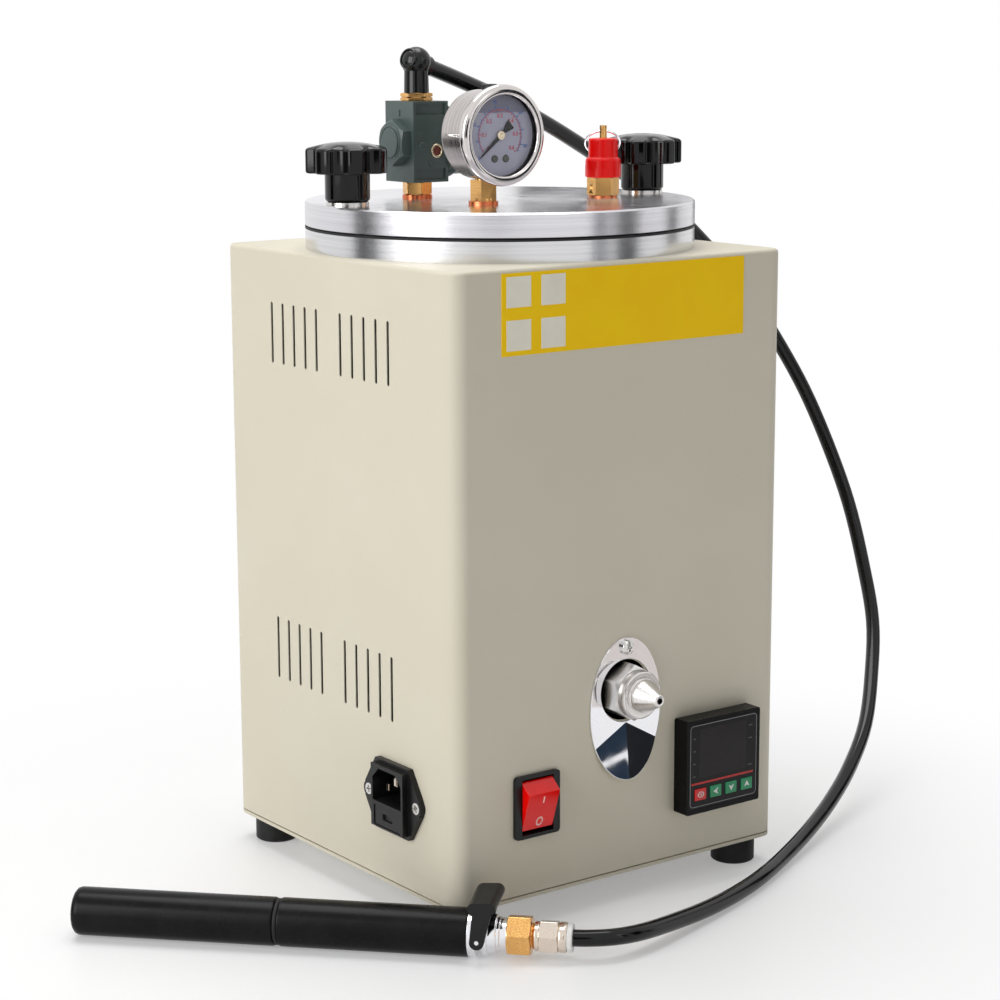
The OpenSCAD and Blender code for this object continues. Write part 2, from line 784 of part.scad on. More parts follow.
module regulator_body() {
    right = reg_w / 2;
    color("#50605c") on_lid(reg_at, 0) difference() {
        translate([-reg_w / 2, -reg_d / 2, reg_z]) cube([reg_w, reg_d, reg_h]);
        for (z = [reg_z + 1.2, reg_top - 6.6]) {
            translate([-right + 1.6, -reg_d / 2 - 1, z]) cube([reg_w - 3.2, 2.2, 5.4]);
        }
        translate([0, 0, reg_z - 1]) cylinder(h = 10, r = tail_r + slide_fit);
        translate([0, 0, reg_z]) cylinder(h = reg_h, r = 2.5);
        translate([0, 0, reg_top - 8]) cylinder(h = 10, r = 5.5 + slide_fit);
        translate([right - 8, 0, reg_axis_z]) rotate([0, 90, 0]) cylinder(h = 9, r = 9.5);
        translate([-right - 1, 0, reg_axis_z]) rotate([0, 90, 0]) cylinder(h = 6, r = 8);
        translate([-right, 0, reg_axis_z]) rotate([0, 90, 0]) cylinder(h = reg_w, r = 4);
        translate([-right + 13.8, -reg_d / 2 - 1, reg_axis_z - 4]) rotate([-90, 0, 0]) cylinder(h = 4, r = 3.1);
    }
}

module regulator_end_cap() {
    color("#50605c") on_lid(reg_at, 0) translate([-reg_w / 2, 0, reg_axis_z]) rotate([0, -90, 0]) {
        translate([0, 0, -4.9]) cylinder(h = 5, r = 8 - slide_fit);
        rotate(30) hex_nut(cap_af, 6, low = false);
        translate([0, 0, 5.5]) cylinder(h = 0.9, r = 7.7);
    }
}

module regulator_bonnet() {
    color("#50605c") on_lid(reg_at, 0) translate([reg_w / 2, 0, reg_axis_z]) rotate([0, 90, 0]) difference() {
        union() {
            translate([0, 0, -7.8]) cylinder(h = 8, r = 9.5 - slide_fit);
            cylinder(h = bonnet_flange, r = bonnet_r);
            cylinder(h = bonnet_len, r = bonnet_r - 1.7);
        }
        translate([0, 0, 1]) cylinder(h = bonnet_len - 4, r = bonnet_r - 4.2);
        translate([0, 0, -9]) cylinder(h = bonnet_len + 20, r = 4 + slide_fit);
    }
}

module regulator_knob() {
    color("#1a1a1b") on_lid(reg_at, 0) translate([reg_w / 2, 0, reg_axis_z]) rotate([0, 90, 0]) {
        translate([0, 0, bonnet_len - 12]) cylinder(h = 14, r = 4);
        difference() {
            translate([0, 0, bonnet_len + clear_fit]) cylinder(h = reg_knob_len, r = reg_knob_r);
            for (i = [0 : 11]) rotate(i * 30) translate([reg_knob_r + 0.9, 0, bonnet_len + 4]) {
                cylinder(h = reg_knob_len, r = 2);
            }
        }
    }
}

module gauge_port_plug() {
    color("#c9b48a") on_lid(reg_at, 0) translate([13.8 - reg_w / 2, -reg_d / 2, reg_axis_z - 4]) {
        rotate([90, 0, 0]) difference() {
            union() {
                translate([0, 0, -2.2]) cylinder(h = 2.4, r = 3.1 - slide_fit);
                cylinder(h = 0.8, r = 3.5);
            }
            translate([0, 0, 0.3]) cylinder(h = 2, r = 2.3);
        }
    }
}

// Turns local Z into the direction in which the hose leaves the elbow
module toward_hose() {
    rotate([0, 0, atan2(elbow_dir[1], elbow_dir[0])])
        rotate([0, acos(elbow_dir[2] / norm(elbow_dir)), 0]) children();
}

module hose_elbow() {
    color("#17181a") on_lid(reg_at, 0) difference() {
        union() {
            translate([0, 0, reg_top - 5]) cylinder(h = 10, r = 4);
            translate([0, 0, reg_top + bush_h]) cylinder(h = elbow_stem_h, d1 = 12.4, d2 = 12);
            translate([0, 0, reg_top + bush_h + elbow_stem_h - 1]) cylinder(h = 4, r = 6);
            translate([0, 0, elbow_z]) sphere(r = elbow_ball_r);
            translate([0, 0, elbow_z]) toward_hose() cylinder(h = elbow_reach, r = 5.2);
        }
        translate([0, 0, reg_top - 6]) cylinder(h = elbow_z - reg_top + 6, r = 2.2);
        translate([0, 0, elbow_z]) toward_hose() cylinder(h = elbow_reach + 1, r = 2.2);
    }
}

// Gauge: local Z runs from the bezel's front to the back of the can

module in_gauge() {
    in_case() translate([gauge_x, bezel_y, gauge_z]) rotate([-90, 0, 0]) children();
}

module gauge_bezel() {
    color("#b8b4b2") in_gauge() difference() {
        union() {
            cylinder(h = 1.2, r1 = bezel_r - 0.8, r2 = bezel_r);
            translate([0, 0, 1.2]) cylinder(h = 5.8, r = bezel_r);
        }
        translate([0, 0, -1]) cylinder(h = 10, r = window_r);
        translate([0, 0, 1.2]) cylinder(h = 3.8, r = bezel_r - 1.9);
        translate([0, 0, 4.9]) cylinder(h = 5, r = can_r + slide_fit);
    }
}

module gauge_glass() {
    color("#e8f0f0", 0.4) in_gauge() translate([0, 0, 1.25]) cylinder(h = 1.9, r = bezel_r - 2.1);
}

module gauge_case() {
    front = 3.3;
    back = can_back_y - bezel_y;
    color("#b8b4b2") difference() {
        in_gauge() union() {
            translate([0, 0, front]) cylinder(h = 1.5, r = bezel_r - 2);
            translate([0, 0, front]) cylinder(h = back - front - 1.2, r = can_r);
            translate([0, 0, back - 1.2]) cylinder(h = 1.2, r1 = can_r, r2 = can_r - 1.2);
        }
        in_gauge() translate([0, 0, front - 1]) cylinder(h = back - front - can_wall + 1, r = can_r - can_wall);
        on_lid(gauge_at, gauge_z - can_r - 3) cylinder(h = 8, r = 4 + slide_fit);
        in_case() translate([gauge_x, plug_y, gauge_z + can_r - 4]) cylinder(h = 8, r = 2.5 + slide_fit);
    }
}

module gauge_dial() {
    color("#dedde6") in_gauge() translate([0, 0, dial_y - bezel_y]) difference() {
        cylinder(h = dial_t, r = dial_r);
        translate([0, 0, -1]) cylinder(h = 3, r = spindle_r + 0.5);
        for (x = [-1, 1] * dial_screw_x) translate([x, dial_screw_y, -1]) cylinder(h = 3, r = 1 + slide_fit);
    }
}

// The needle rests one scale line before zero and turns clockwise
module gauge_needle() {
    color("#121212") in_gauge() translate([0, 0, dial_y - bezel_y - 1.1]) difference() {
        union() {
            cylinder(h = 0.9, r = 2);
            rotate(139) linear_extrude(0.4) polygon([
                [0, -1.1], [needle_len, -0.3], [needle_len, 0.3], [0, 1.1], [-2.5, 0.8], [-8, 2.7],
                [-8, -2.7], [-2.5, -0.8]
            ]);
        }
        translate([0, 0, -1]) cylinder(h = 3, r = spindle_r + 0.03);
    }
}

// The tube's block stands on the socket's neck; local Y points down
module gauge_movement() {
    plate = dial_y - bezel_y + dial_t;
    block_low = can_r + 0.2 - neck_rise;
    color("#c9a24a") in_gauge() {
        translate([0, 0, plate - dial_t - 1.1]) cylinder(h = 12, r = spindle_r);
        for (z = [1, 6]) translate([-7, -7, plate + z]) cube([14, 19, 1]);
        for (x = [-6, 4]) translate([x, -6, plate + 1]) cube([2, 2, 6]);
        for (x = [-1, 1] * dial_screw_x) translate([x, dial_screw_y, plate - dial_t]) cylinder(h = 7, r = 1);
        for (x = [-1, 1] * dial_screw_x) translate([x, dial_screw_y, plate - dial_t - 0.5]) cylinder(h = 0.5, r = 1.6);
        translate([-10, 8, plate + 6]) cube([16, block_low - 8, 11]);
        translate([0, 0, plate + 9]) rotate([0, 0, 125]) rotate_extrude(angle = 280) {
            translate([15, 0]) square([1.6, 5.5], center = true);
        }
        rotate(45) translate([0, -1, plate + 7.6]) cube([15, 2, 1]);
    }
}

module gauge_socket() {
    color("#d8a850") on_lid(gauge_at, 0) {
        difference() {
            union() {
                translate([0, 0, lid_z + 1]) cylinder(h = lid_t + 2, r = tail_r);
                translate([-socket_side / 2, -socket_side / 2, lid_top + copper_gauge_t]) {
                    cube([socket_side, socket_side, socket_top - lid_top - copper_gauge_t]);
                }
                translate([0, 0, socket_top - 1]) cylinder(h = neck_rise + 1, r = 4);
            }
            translate([0, 0, lid_z - 1]) cylinder(h = 40, r = 1.5);
        }
    }
}

module gauge_fill_plug() {
    color("#161616") in_case() translate([gauge_x, plug_y, gauge_z + can_r]) {
        translate([0, 0, 0.3]) cylinder(h = 2.4, r1 = 4, r2 = 3.6);
        translate([0, 0, -2.5]) cylinder(h = 3, r = 2.5);
    }
}

// Relief valve

module relief_valve_body() {
    color("#d8a850") on_lid(relief_at, 0) difference() {
        union() {
            translate([0, 0, lid_z + 1]) cylinder(h = lid_t + 2, r = tail_r);
            translate([0, 0, relief_hex_z]) rotate(8) hex_nut(bush_af, relief_hex_h);
            translate([0, 0, relief_cap_z - 1]) cylinder(h = 6, r = 6);
        }
        translate([0, 0, lid_z - 1]) cylinder(h = 30, r = 2);
        translate([0, 0, relief_hex_z + 3]) cylinder(h = 30, r = 4.7);
        translate([0, 0, relief_hex_z + 4.8]) rotate([90, 0, -35]) cylinder(h = 20, r = 1.2);
    }
}

module relief_valve_cap() {
    color("#d40a0a") on_lid(relief_at, relief_cap_z) difference() {
        union() {
            cylinder(h = relief_step_h - 0.8, d = relief_d);
            translate([0, 0, relief_step_h - 0.8]) cylinder(h = 0.8, d1 = relief_d, d2 = relief_d - 1.6);
            translate([0, 0, relief_step_h - 1]) {
                cylinder(h = relief_cap_h - relief_step_h + 0.2, d = relief_top_d);
            }
            translate([0, 0, relief_cap_h - 0.8]) cylinder(h = 0.8, d1 = relief_top_d, d2 = relief_top_d - 1.6);
        }
        translate([0, 0, -1]) cylinder(h = 6.2, r = 6 + slide_fit);
        translate([0, 0, -1]) cylinder(h = relief_cap_h - 1, r = 5);
        translate([0, 0, -1]) cylinder(h = relief_cap_h + 2, d = relief_pin_d + 2 * slide_fit);
    }
}

module relief_pin() {
    color("#d40a0a") on_lid(relief_at, 0) difference() {
        union() {
            translate([0, 0, relief_hex_z + 4]) cylinder(h = relief_pin_top - relief_hex_z - 4, d = relief_pin_d);
            translate([0, 0, relief_hex_z + 3]) cylinder(h = 1.4, r = 3.2);
            translate([0, 0, relief_plate_z]) cylinder(h = 1.2, r = 4.6);
        }
        translate([0, 0, ring_hole_z]) rotate([0, 90, ring_turn - 90]) {
            cylinder(h = 10, r = ring_wire_r + 0.25, center = true);
        }
    }
}

module relief_spring() {
    height = relief_cap_z + relief_cap_h - 2 - relief_plate_z - 1.2;
    color("#b9b7b0") on_lid(relief_at, relief_plate_z + 1.2) spring(3.3, 0.5, height, 6);
}

module relief_ring() {
    mean_r = relief_ring_d / 2 - ring_wire_r;
    color("#c8c8c6") on_lid(relief_at, ring_hole_z) rotate(ring_turn) rotate([0, ring_lean, 0]) {
        translate([mean_r, 0, 0]) rotate_extrude() translate([mean_r, 0]) circle(r = ring_wire_r);
    }
}

// Nozzle

// The oval outline of the drip plate, as a solid from the panel outwards
module drip_oval(h) {
    sides = 96;
    linear_extrude(h) polygon([
        for (i = [0 : sides - 1]) [drip_w / 2 * cos(i * 360 / sides), drip_h / 2 * sin(i * 360 / sides)]
    ]);
}

// One facet of the fold below the nozzle: it rises towards the ridge and the bottom
module drip_facet(side) {
    far = 30;
    crease = fold_side * far / fold_rise;
    drop = 36;
    corners = [[0, 0], [side * far, -crease], [side * far, -drop], [0, -drop]];
    low = [for (c = corners) [c[0], c[1], -c[1] * fold_rise - fold_side * abs(c[0])]];
    high = [for (c = low) c + [0, 0, drip_t]];
    wall = [[0, 1, 5, 4], [1, 2, 6, 5], [2, 3, 7, 6], [3, 0, 4, 7]];
    faces = side > 0 ? concat([[0, 3, 2, 1], [4, 5, 6, 7]], wall) : concat([[0, 1, 2, 3], [7, 6, 5, 4]],
        [for (w = wall) [w[3], w[2], w[1], w[0]]]);
    polyhedron(points = concat(low, high), faces = faces);
}

module drip_plate() {
    far = 30;
    crease = fold_side * far / fold_rise;
    fold_down = drip_fold_z - drip_z;
    color("#c9c9cb") on_front(mid_x, drip_z) difference() {
        intersection() {
            drip_oval(12);
            union() {
                translate([0, fold_down, 0]) linear_extrude(drip_t) {
                    polygon([[0, 0], [far, -crease], [far, 60], [-far, 60], [-far, -crease]]);
                }
                translate([0, fold_down, 0]) drip_facet(1);
                translate([0, fold_down, 0]) drip_facet(-1);
            }
        }
        translate([0, nozzle_z - drip_z, -5]) cylinder(h = 20, r = drip_hole_r);
        translate([0, drip_screw_z - drip_z, -5]) cylinder(h = 20, r = 2.15);
    }
}

module outlet_body() {
    color("#c4c4c2") on_front(mid_x, nozzle_z) difference() {
        union() {
            translate([0, 0, pot_boss_out]) hex_nut(outlet_af, outlet_out - pot_boss_out, low = false);
            translate([0, 0, pot_boss_out - 11]) cylinder(h = 12, r = 8 - slide_fit);
        }
        translate([0, 0, chamber_end]) cylinder(h = 40, r = shank_r + slide_fit);
        translate([0, 0, pot_boss_out - 12]) cylinder(h = 40, r = 3);
    }
}

module nozzle() {
    color("#d6d6d4") on_front(mid_x, nozzle_z) difference() {
        union() {
            translate([0, 0, shank_end]) cylinder(h = nozzle_disc_out - shank_end, r = shank_r);
            translate([0, 0, nozzle_disc_out]) cylinder(h = nozzle_cone_out - nozzle_disc_out, r = nozzle_disc_r);
            translate([0, 0, nozzle_cone_out - eps]) cylinder(h = 1 + eps, r = 8.4);
            translate([0, 0, nozzle_cone_out + 1]) {
                cylinder(h = nozzle_tip_out - nozzle_cone_out - 1, r1 = 8, r2 = 2.7);
            }
        }
        translate([0, 0, shank_end - 1]) cylinder(h = cavity_depth + 1, r = 7);
        translate([0, 0, shank_end - 1]) cylinder(h = nozzle_tip_out - shank_end + 10, r = orifice_r);
    }
}

module nozzle_spring() {
    color("#b9b7b0") on_front(mid_x, nozzle_z) translate([0, 0, spring_from]) {
        spring(6, 0.6, shank_end + cavity_depth - spring_from, 6);
    }
}

// Switch

module switch_frame() {
    color("#161616") on_front(switch_x, switch_z) difference() {
        union() {
            translate([-switch_w / 2, -switch_h / 2, 0]) rounded_slab(switch_w, switch_h, switch_out, 2);
            translate([-11, -14.5, -22]) cube([22, 29, 22.5]);
        }
        translate([-switch_open_w / 2, -switch_open_h / 2, -12]) cube([switch_open_w, switch_open_h, 30]);
        translate([-10.2, 0, -rocker_pivot_in]) rotate([0, 90, 0]) cylinder(h = 20.4, r = 1.6 + slide_fit);
    }
}

module switch_rocker() {
    half = 13.1;
    color("#0e0e0e") on_front(switch_x, switch_z) translate([0, 0, -rocker_pivot_in]) {
        rotate([rocker_tilt, 0, 0]) {
            translate([-rocker_w / 2, 0, 0]) rotate([90, 0, 90]) linear_extrude(rocker_w) {
                polygon([[-10, 7], [10, 7], [half, -0.7], [6, -4], [-6, -4], [-half, -0.7]]);
            }
            translate([-10, 0, 0]) rotate([0, 90, 0]) cylinder(h = 20, r = 1.6);
        }
    }
}

// Controller: local X and Y run from the bezel's lower left corner, Z out of the panel

module in_controller() {
    on_front(ctl_x, ctl_z) children();
}

module controller_case() {
    inset = (ctl_side - ctl_body) / 2;
    wall = 1.6;
    color("#1d1d1f") in_controller() difference() {
        union() {
            rounded_slab(ctl_side, ctl_side, ctl_out, 1.2);
            translate([inset, inset, -ctl_depth]) cube([ctl_body, ctl_body, ctl_depth + 1]);
        }
        translate([plate_x0 - snug, plate_z0 - snug, ctl_out - plate_t]) {
            cube([plate_w + 2 * snug, plate_h + 2 * snug, plate_t + 1]);
        }
        translate([plate_x0 + 2, plate_z0 + 2, ctl_out - 4.4]) cube([plate_w - 4, plate_h - 4, 5]);
        translate([inset + wall, inset + wall, wall - ctl_depth]) {
            cube([ctl_body - 2 * wall, ctl_body - 2 * wall, ctl_depth + ctl_out - 5.9 - wall]);
        }
        for (z = [20 : 8 : 76]) translate([12, -5, -z]) cube([24, ctl_side + 10, 2]);
    }
}

module controller_faceplate() {
    color("#242426") in_controller() translate([plate_x0, plate_z0, ctl_out - plate_t]) difference() {
        cube([plate_w, plate_h, plate_t]);
        for (x = key_places) {
            translate([x - plate_x0 - key_w / 2, key_z - plate_z0 - key_h / 2, -1]) cube([key_w, key_h, plate_t + 2]);
        }
    }
}

module key(place) {
    gap = 0.15;
    in_controller() translate([key_places[place], key_z, 0]) {
        translate([gap - key_w / 2, gap - key_h / 2, ctl_out - 3.8]) {
            cube([key_w - 2 * gap, key_h - 2 * gap, key_out + 3.8]);
        }
        translate([-key_w / 2 - 0.4, -key_h / 2 - 0.4, ctl_out - plate_t - 1.1]) {
            cube([key_w + 0.8, key_h + 0.8, 1]);
        }
    }
}

module set_key() {
    color("#b5312b") key(0);
}

module shift_key() {
    color("#2f8f6a") key(1);
}

module down_key() {
    color("#2f8f6a") key(2);
}

module up_key() {
    color("#2f8f6a") key(3);
}

module front_label() {
    color("#f3c40a") on_front(label_x, case_h - label_down - label_h) {
        cube([label_w, label_h, label_t]);
    }
}

// Mains inlet: local X up, local Y towards the back, Z out of the left side

module inlet_flange(h) {
    half_h = 17.5;
    half_w = 14;
    tip = inlet_screws / 2 + 3;
    linear_extrude(h) polygon([
        [half_h, -half_w], [half_h, half_w], [ear_r - 0.6, tip], [0.6 - ear_r, tip],
        [-half_h, half_w], [-half_h, -half_w], [0.6 - ear_r, -tip], [ear_r - 0.6, -tip]
    ]);
    for (s = [-0.5, 0.5]) translate([0, s * inlet_screws, 0]) cylinder(h = h, r = ear_r);
}

module mains_inlet() {
    up = socket_up + socket_h / 2;
    corner = 5;
    color("#161617") on_left(inlet_y, inlet_z) difference() {
        union() {
            inlet_flange(inlet_flange_t);
            translate([-15.5, -inlet_body_w / 2, 0]) cube([31, inlet_body_w, inlet_out]);
            translate([-inlet_body_h / 2, -inlet_body_w / 2, -inlet_depth]) {
                cube([inlet_body_h, inlet_body_w, inlet_depth + 1]);
            }
        }
        difference() {
            translate([socket_up - socket_h / 2, -socket_w / 2, inlet_out - socket_deep]) {
                cube([socket_h, socket_w, socket_deep + 1]);
            }
            for (s = [-1, 1]) translate([up, s * socket_w / 2, inlet_out - socket_deep - 1]) {
                rotate(45) translate([-corner / sqrt(2), -corner / sqrt(2), 0]) {
                    cube([corner * sqrt(2), corner * sqrt(2), socket_deep + 3]);
                }
            }
        }
        translate([drawer_down - drawer_h / 2, -drawer_w / 2, -inlet_depth + 2]) {
            cube([drawer_h, drawer_w, inlet_depth + inlet_out]);
        }
        for (y = [-7, 0, 7]) translate([socket_up - (y == 0 ? -2 : 2), y, -inlet_depth / 2]) {
            cube([4 + snug, 2 + snug, inlet_depth + 4], center = true);
        }
        for (s = [-0.5, 0.5]) translate([0, s * inlet_screws, 0]) {
            translate([0, 0, -1]) cylinder(h = 10, r = 1.6);
            translate([0, 0, inlet_flange_t - 1.65]) cylinder(h = 1.7, r1 = 1.6, r2 = 3.1);
        }
    }
}

module inlet_pins() {
    front = inlet_out - pin_recess;
    color("#d0c9b4") on_left(inlet_y, inlet_z) for (y = [-7, 0, 7]) {
        translate([socket_up - (y == 0 ? -2 : 2), y, 0]) {
            translate([-2, -1, -inlet_depth - 7]) cube([4, 2, inlet_depth + 7 + front - 0.6]);
            translate([-1.6, -0.7, -1]) cube([3.2, 1.4, front + 1]);
        }
    }
}

module fuse_drawer() {
    play = 0.15;
    w = drawer_w - 2 * play;
    h = drawer_h - 2 * play;
    color("#1c1c1e") on_left(inlet_y, inlet_z) {
        translate([drawer_down - h / 2, -w / 2, 0]) difference() {
            translate([0, 0, -inlet_depth + 3]) cube([h, w, inlet_depth + inlet_out - 3.4]);
            translate([1.5, 1, -inlet_depth + 4.5]) cube([h, w - 2, inlet_depth - 4]);
            translate([h / 2 - 1.5, w / 2 - 4, inlet_out - 1.6]) cube([3, 8, 3]);
        }
    }
}

// Pump

module pump_handle() {
    edge = 2;
    color("#141415") in_pump() difference() {
        union() {
            translate([0, 0, edge]) cylinder(h = handle_len - edge, r = pump_r);
            cylinder(h = edge + eps, r = pump_r - edge);
            translate([0, 0, edge]) rotate_extrude() translate([pump_r - edge, 0]) circle(r = edge);
        }
        translate([0, 0, 4]) cylinder(h = handle_len, r = pump_r - 1.5);
        translate([0, 0, rod_start]) cylinder(h = 5, r = rod_r + slide_fit);
    }
}

module pump_rod() {
    color("#c8c8c6") in_pump() {
        translate([0, 0, rod_start]) cylinder(h = piston_at, r = rod_r);
        translate([0, 0, piston_at]) cylinder(h = piston_t, r = piston_r);
    }
}

module pump_barrel() {
    color("#b9b7b0") in_pump() difference() {
        translate([0, 0, barrel_start]) cylinder(h = sleeve_end - barrel_start, r = barrel_r);
        translate([0, 0, barrel_start + 5]) cylinder(h = sleeve_end, r = piston_r + slide_fit);
        translate([0, 0, 0]) cylinder(h = 40, r = rod_r + slide_fit);
    }
}

module pump_sleeve() {
    color("#141415") in_pump() translate([0, 0, sleeve_start]) {
        ring(pump_r, barrel_r + slide_fit, sleeve_end - sleeve_start);
    }
}

module pump_head() {
    color("#dedede") in_pump() difference() {
        union() {
            translate([0, 0, sleeve_end - 6]) cylinder(h = 6, r = piston_r);
            translate([0, 0, sleeve_end]) cylinder(h = head_ring_end - sleeve_end, r = pump_r - 0.3);
            translate([0, 0, sleeve_end]) cylinder(h = 15, r = 7.5);
            translate([0, 0, groove_end]) cylinder(h = 2.5, r = 10.2);
            translate([0, 0, groove_end + 2.4]) cylinder(h = 4.1, r = 9);
            translate([0, 0, head_end - 4.8]) cylinder(h = 4.8, r1 = 8, r2 = 7.6);
            translate([0, 0, lever_at]) rotate([90, 0, 0]) cylinder(h = 27, r = 1.3, center = true);
        }
        translate([0, 0, sleeve_end - 12]) cylinder(h = 40, r = 2.5);
    }
}

// The thumb lever leans forward and rocks on the head's two pins
module pump_lever() {
    leg_in = pump_r + clear_fit;
    leg_out = leg_in + 2;
    color("#1a1a1b") in_pump() difference() {
        union() {
            for (s = [-1, 1]) hull() {
                translate([0, s > 0 ? leg_out : -leg_in, lever_at]) rotate([90, 0, 0]) cylinder(h = 2, r = 3.4, $fn = 32);
                translate([-15, s > 0 ? leg_out : -leg_in, lever_at + 2.6]) rotate([90, 0, 0]) {
                    cylinder(h = 2, r = 4.4, $fn = 32);
                }
            }
            hull() {
                translate([-16, leg_out, lever_at - 1]) rotate([90, 0, 0]) cylinder(h = 2 * leg_out, r = 3.2, $fn = 32);
                translate([-16.6, leg_out, lever_at + 6]) rotate([90, 0, 0]) cylinder(h = 2 * leg_out, r = 3, $fn = 32);
            }
        }
        translate([0, 0, lever_at]) rotate([90, 0, 0]) cylinder(h = 40, r = 1.3 + slide_fit, center = true);
    }
}

module hex_union() {
    color("#d8a850") in_pump() difference() {
        union() {
            translate([0, 0, head_end]) rotate(30) hex_nut(union_af, union_end - head_end);
            translate([0, 0, union_end - 1]) cylinder(h = 8, r = 6);
        }
        translate([0, 0, head_end - 1]) cylinder(h = 30, r = 2.5);
    }
}

module hose_fitting() {
    color("#c9b9a6") in_pump() difference() {
        translate([0, 0, nut_start]) rotate(30) hex_nut(nut_af, nut_end - nut_start);
        translate([0, 0, nut_start - 1]) cylinder(h = 8, r = 6 + slide_fit);
        translate([0, 0, nut_start - 1]) cylinder(h = 30, r = 4.4);
    }
}

module fitting_collar() {
    color("#ececea") in_pump() {
        ring_in = 2;
        translate([0, 0, nut_end]) ring(6.5, ring_in, collar_end - nut_end);
        translate([0, 0, nut_end - 6]) ring(4.4 - slide_fit, ring_in, 6.5);
    }
}

module air_hose() {
    route = concat([hose_start - 20 * elbow_dir], [hose_start], hose_route, [pump_end], [pump_end - 20 * pump_dir]);
    path = smooth(route, hose_steps);
    color("#141415") swept(path, hose_d / 2, 10, elbow_dir, -pump_dir);
}

case_shell();
base_plate();
rubber_feet();
screws();
wax_pot();
lid_gasket();
lid();
lid_studs();
left_star_knob();
right_star_knob();
knob_washers();
copper_washers();
brass_nipples();
regulator_body();
regulator_end_cap();
regulator_bonnet();
regulator_knob();
gauge_port_plug();
hose_elbow();
gauge_case();
gauge_bezel();
gauge_glass();
gauge_dial();
gauge_needle();
gauge_socket();
gauge_fill_plug();
gauge_movement();
relief_valve_body();
relief_valve_cap();
relief_spring();
relief_pin();
relief_ring();
drip_plate();
outlet_body();
nozzle();
nozzle_spring();
heater_band();
thermocouple();
switch_frame();
switch_rocker();
controller_case();
controller_faceplate();
set_key();
shift_key();
down_key();
up_key();
front_label();
mains_inlet();
inlet_pins();
fuse_drawer();
pump_barrel();
pump_sleeve();
pump_handle();
pump_rod();
pump_head();
pump_lever();
hex_union();
hose_fitting();
fitting_collar();
air_hose();
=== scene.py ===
# %% [markdown]
# # A bench wax injector, dressed for its portrait
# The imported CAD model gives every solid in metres, at its real place. This lesson puts a camera, a
# studio and finishes round it, and models again, with real bevels and fine detail, the pieces that
# a viewer's eye goes to first.

# %% Load the frame
import math

import bpy
from mathutils import Matrix, Quaternion, Vector


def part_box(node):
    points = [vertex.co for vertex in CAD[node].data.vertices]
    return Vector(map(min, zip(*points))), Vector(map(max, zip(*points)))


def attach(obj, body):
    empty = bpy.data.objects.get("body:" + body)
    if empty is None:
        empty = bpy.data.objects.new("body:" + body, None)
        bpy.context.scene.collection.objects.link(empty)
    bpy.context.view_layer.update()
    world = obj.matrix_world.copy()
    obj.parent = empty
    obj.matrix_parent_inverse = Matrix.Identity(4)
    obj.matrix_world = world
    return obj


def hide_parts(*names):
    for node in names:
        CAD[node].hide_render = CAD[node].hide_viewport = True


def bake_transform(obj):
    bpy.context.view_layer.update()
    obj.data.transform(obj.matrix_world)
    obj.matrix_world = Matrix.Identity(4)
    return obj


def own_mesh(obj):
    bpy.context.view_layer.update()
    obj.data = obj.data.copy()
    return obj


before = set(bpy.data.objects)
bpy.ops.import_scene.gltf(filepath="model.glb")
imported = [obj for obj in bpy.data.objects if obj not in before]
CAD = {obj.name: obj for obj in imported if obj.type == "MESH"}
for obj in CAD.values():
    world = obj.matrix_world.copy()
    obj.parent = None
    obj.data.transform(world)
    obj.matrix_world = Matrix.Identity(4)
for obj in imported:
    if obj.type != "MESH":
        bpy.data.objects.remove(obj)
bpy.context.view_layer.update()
MM = 0.001

# %% [markdown]
# ## Places to measure from
# Most places are read from the boxes of the CAD nodes: the front panel, the lid's top and the middles
# of pieces. A few centres that no box gives are typed, in millimetres of the same frame.


# %% Landmarks
def middle(node):
    low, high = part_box(node)
    return (low + high) / 2


CASE_LOW, CASE_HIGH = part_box("case_shell")
FRONT_Y = CASE_LOW.y
LEFT_X = CASE_LOW.x
LID_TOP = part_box("lid")[1].z
print("front panel at y =", round(FRONT_Y, 4), "lid top at z =", round(LID_TOP, 4))

# %% [markdown]
# ## Camera
# The photograph was taken with a long lens from the front left, a little above the lid. The place
# and the angles below come from fitting straight case edges and the round lid to the picture.

# %% Camera
CAMERA_PLACE = Vector((-0.65426, -0.9561, 0.4209))
CAMERA_YAW = math.radians(36.391)
CAMERA_PITCH = math.radians(10.949)
CAMERA_ROLL = math.radians(-0.175)
CAMERA_LENS = 87.99
SENSOR = 36.0


def camera_axes(yaw, pitch, roll):
    look = Vector((math.sin(yaw) * math.cos(pitch), math.cos(yaw) * math.cos(pitch), -math.sin(pitch)))
    side = look.cross(Vector((0, 0, 1))).normalized()
    top = side.cross(look)
    right = math.cos(roll) * side + math.sin(roll) * top
    up = -math.sin(roll) * side + math.cos(roll) * top
    return right, up, look


bpy.ops.object.camera_add(location=CAMERA_PLACE)
camera = bpy.context.object
camera.name = "portrait_camera"
right, up, look = camera_axes(CAMERA_YAW, CAMERA_PITCH, CAMERA_ROLL)
camera.matrix_world = Matrix.Translation(CAMERA_PLACE) @ Matrix((right, up, -look)).transposed().to_4x4()
camera.data.lens = CAMERA_LENS
camera.data.sensor_width = SENSOR
camera.data.clip_end = 50
bpy.context.scene.camera = camera
bpy.context.scene.view_settings.view_transform = "Standard"
print("camera", [round(v, 3) for v in camera.location], "lens", CAMERA_LENS)

# %% [markdown]
# ## Small helpers for modelling
# Operators act on whatever is selected, so each piece starts with a clean selection. A finished
# piece has its place in its mesh, rides on a body and stands for the CAD nodes that it replaces.


# %% Modelling helpers
PINPOINT = 0.002
WELD = 0.008 * MM


def clear_selection():
    if bpy.context.object and bpy.context.object.mode != "OBJECT":
        bpy.ops.object.mode_set(mode="OBJECT")
    bpy.ops.object.select_all(action="DESELECT")


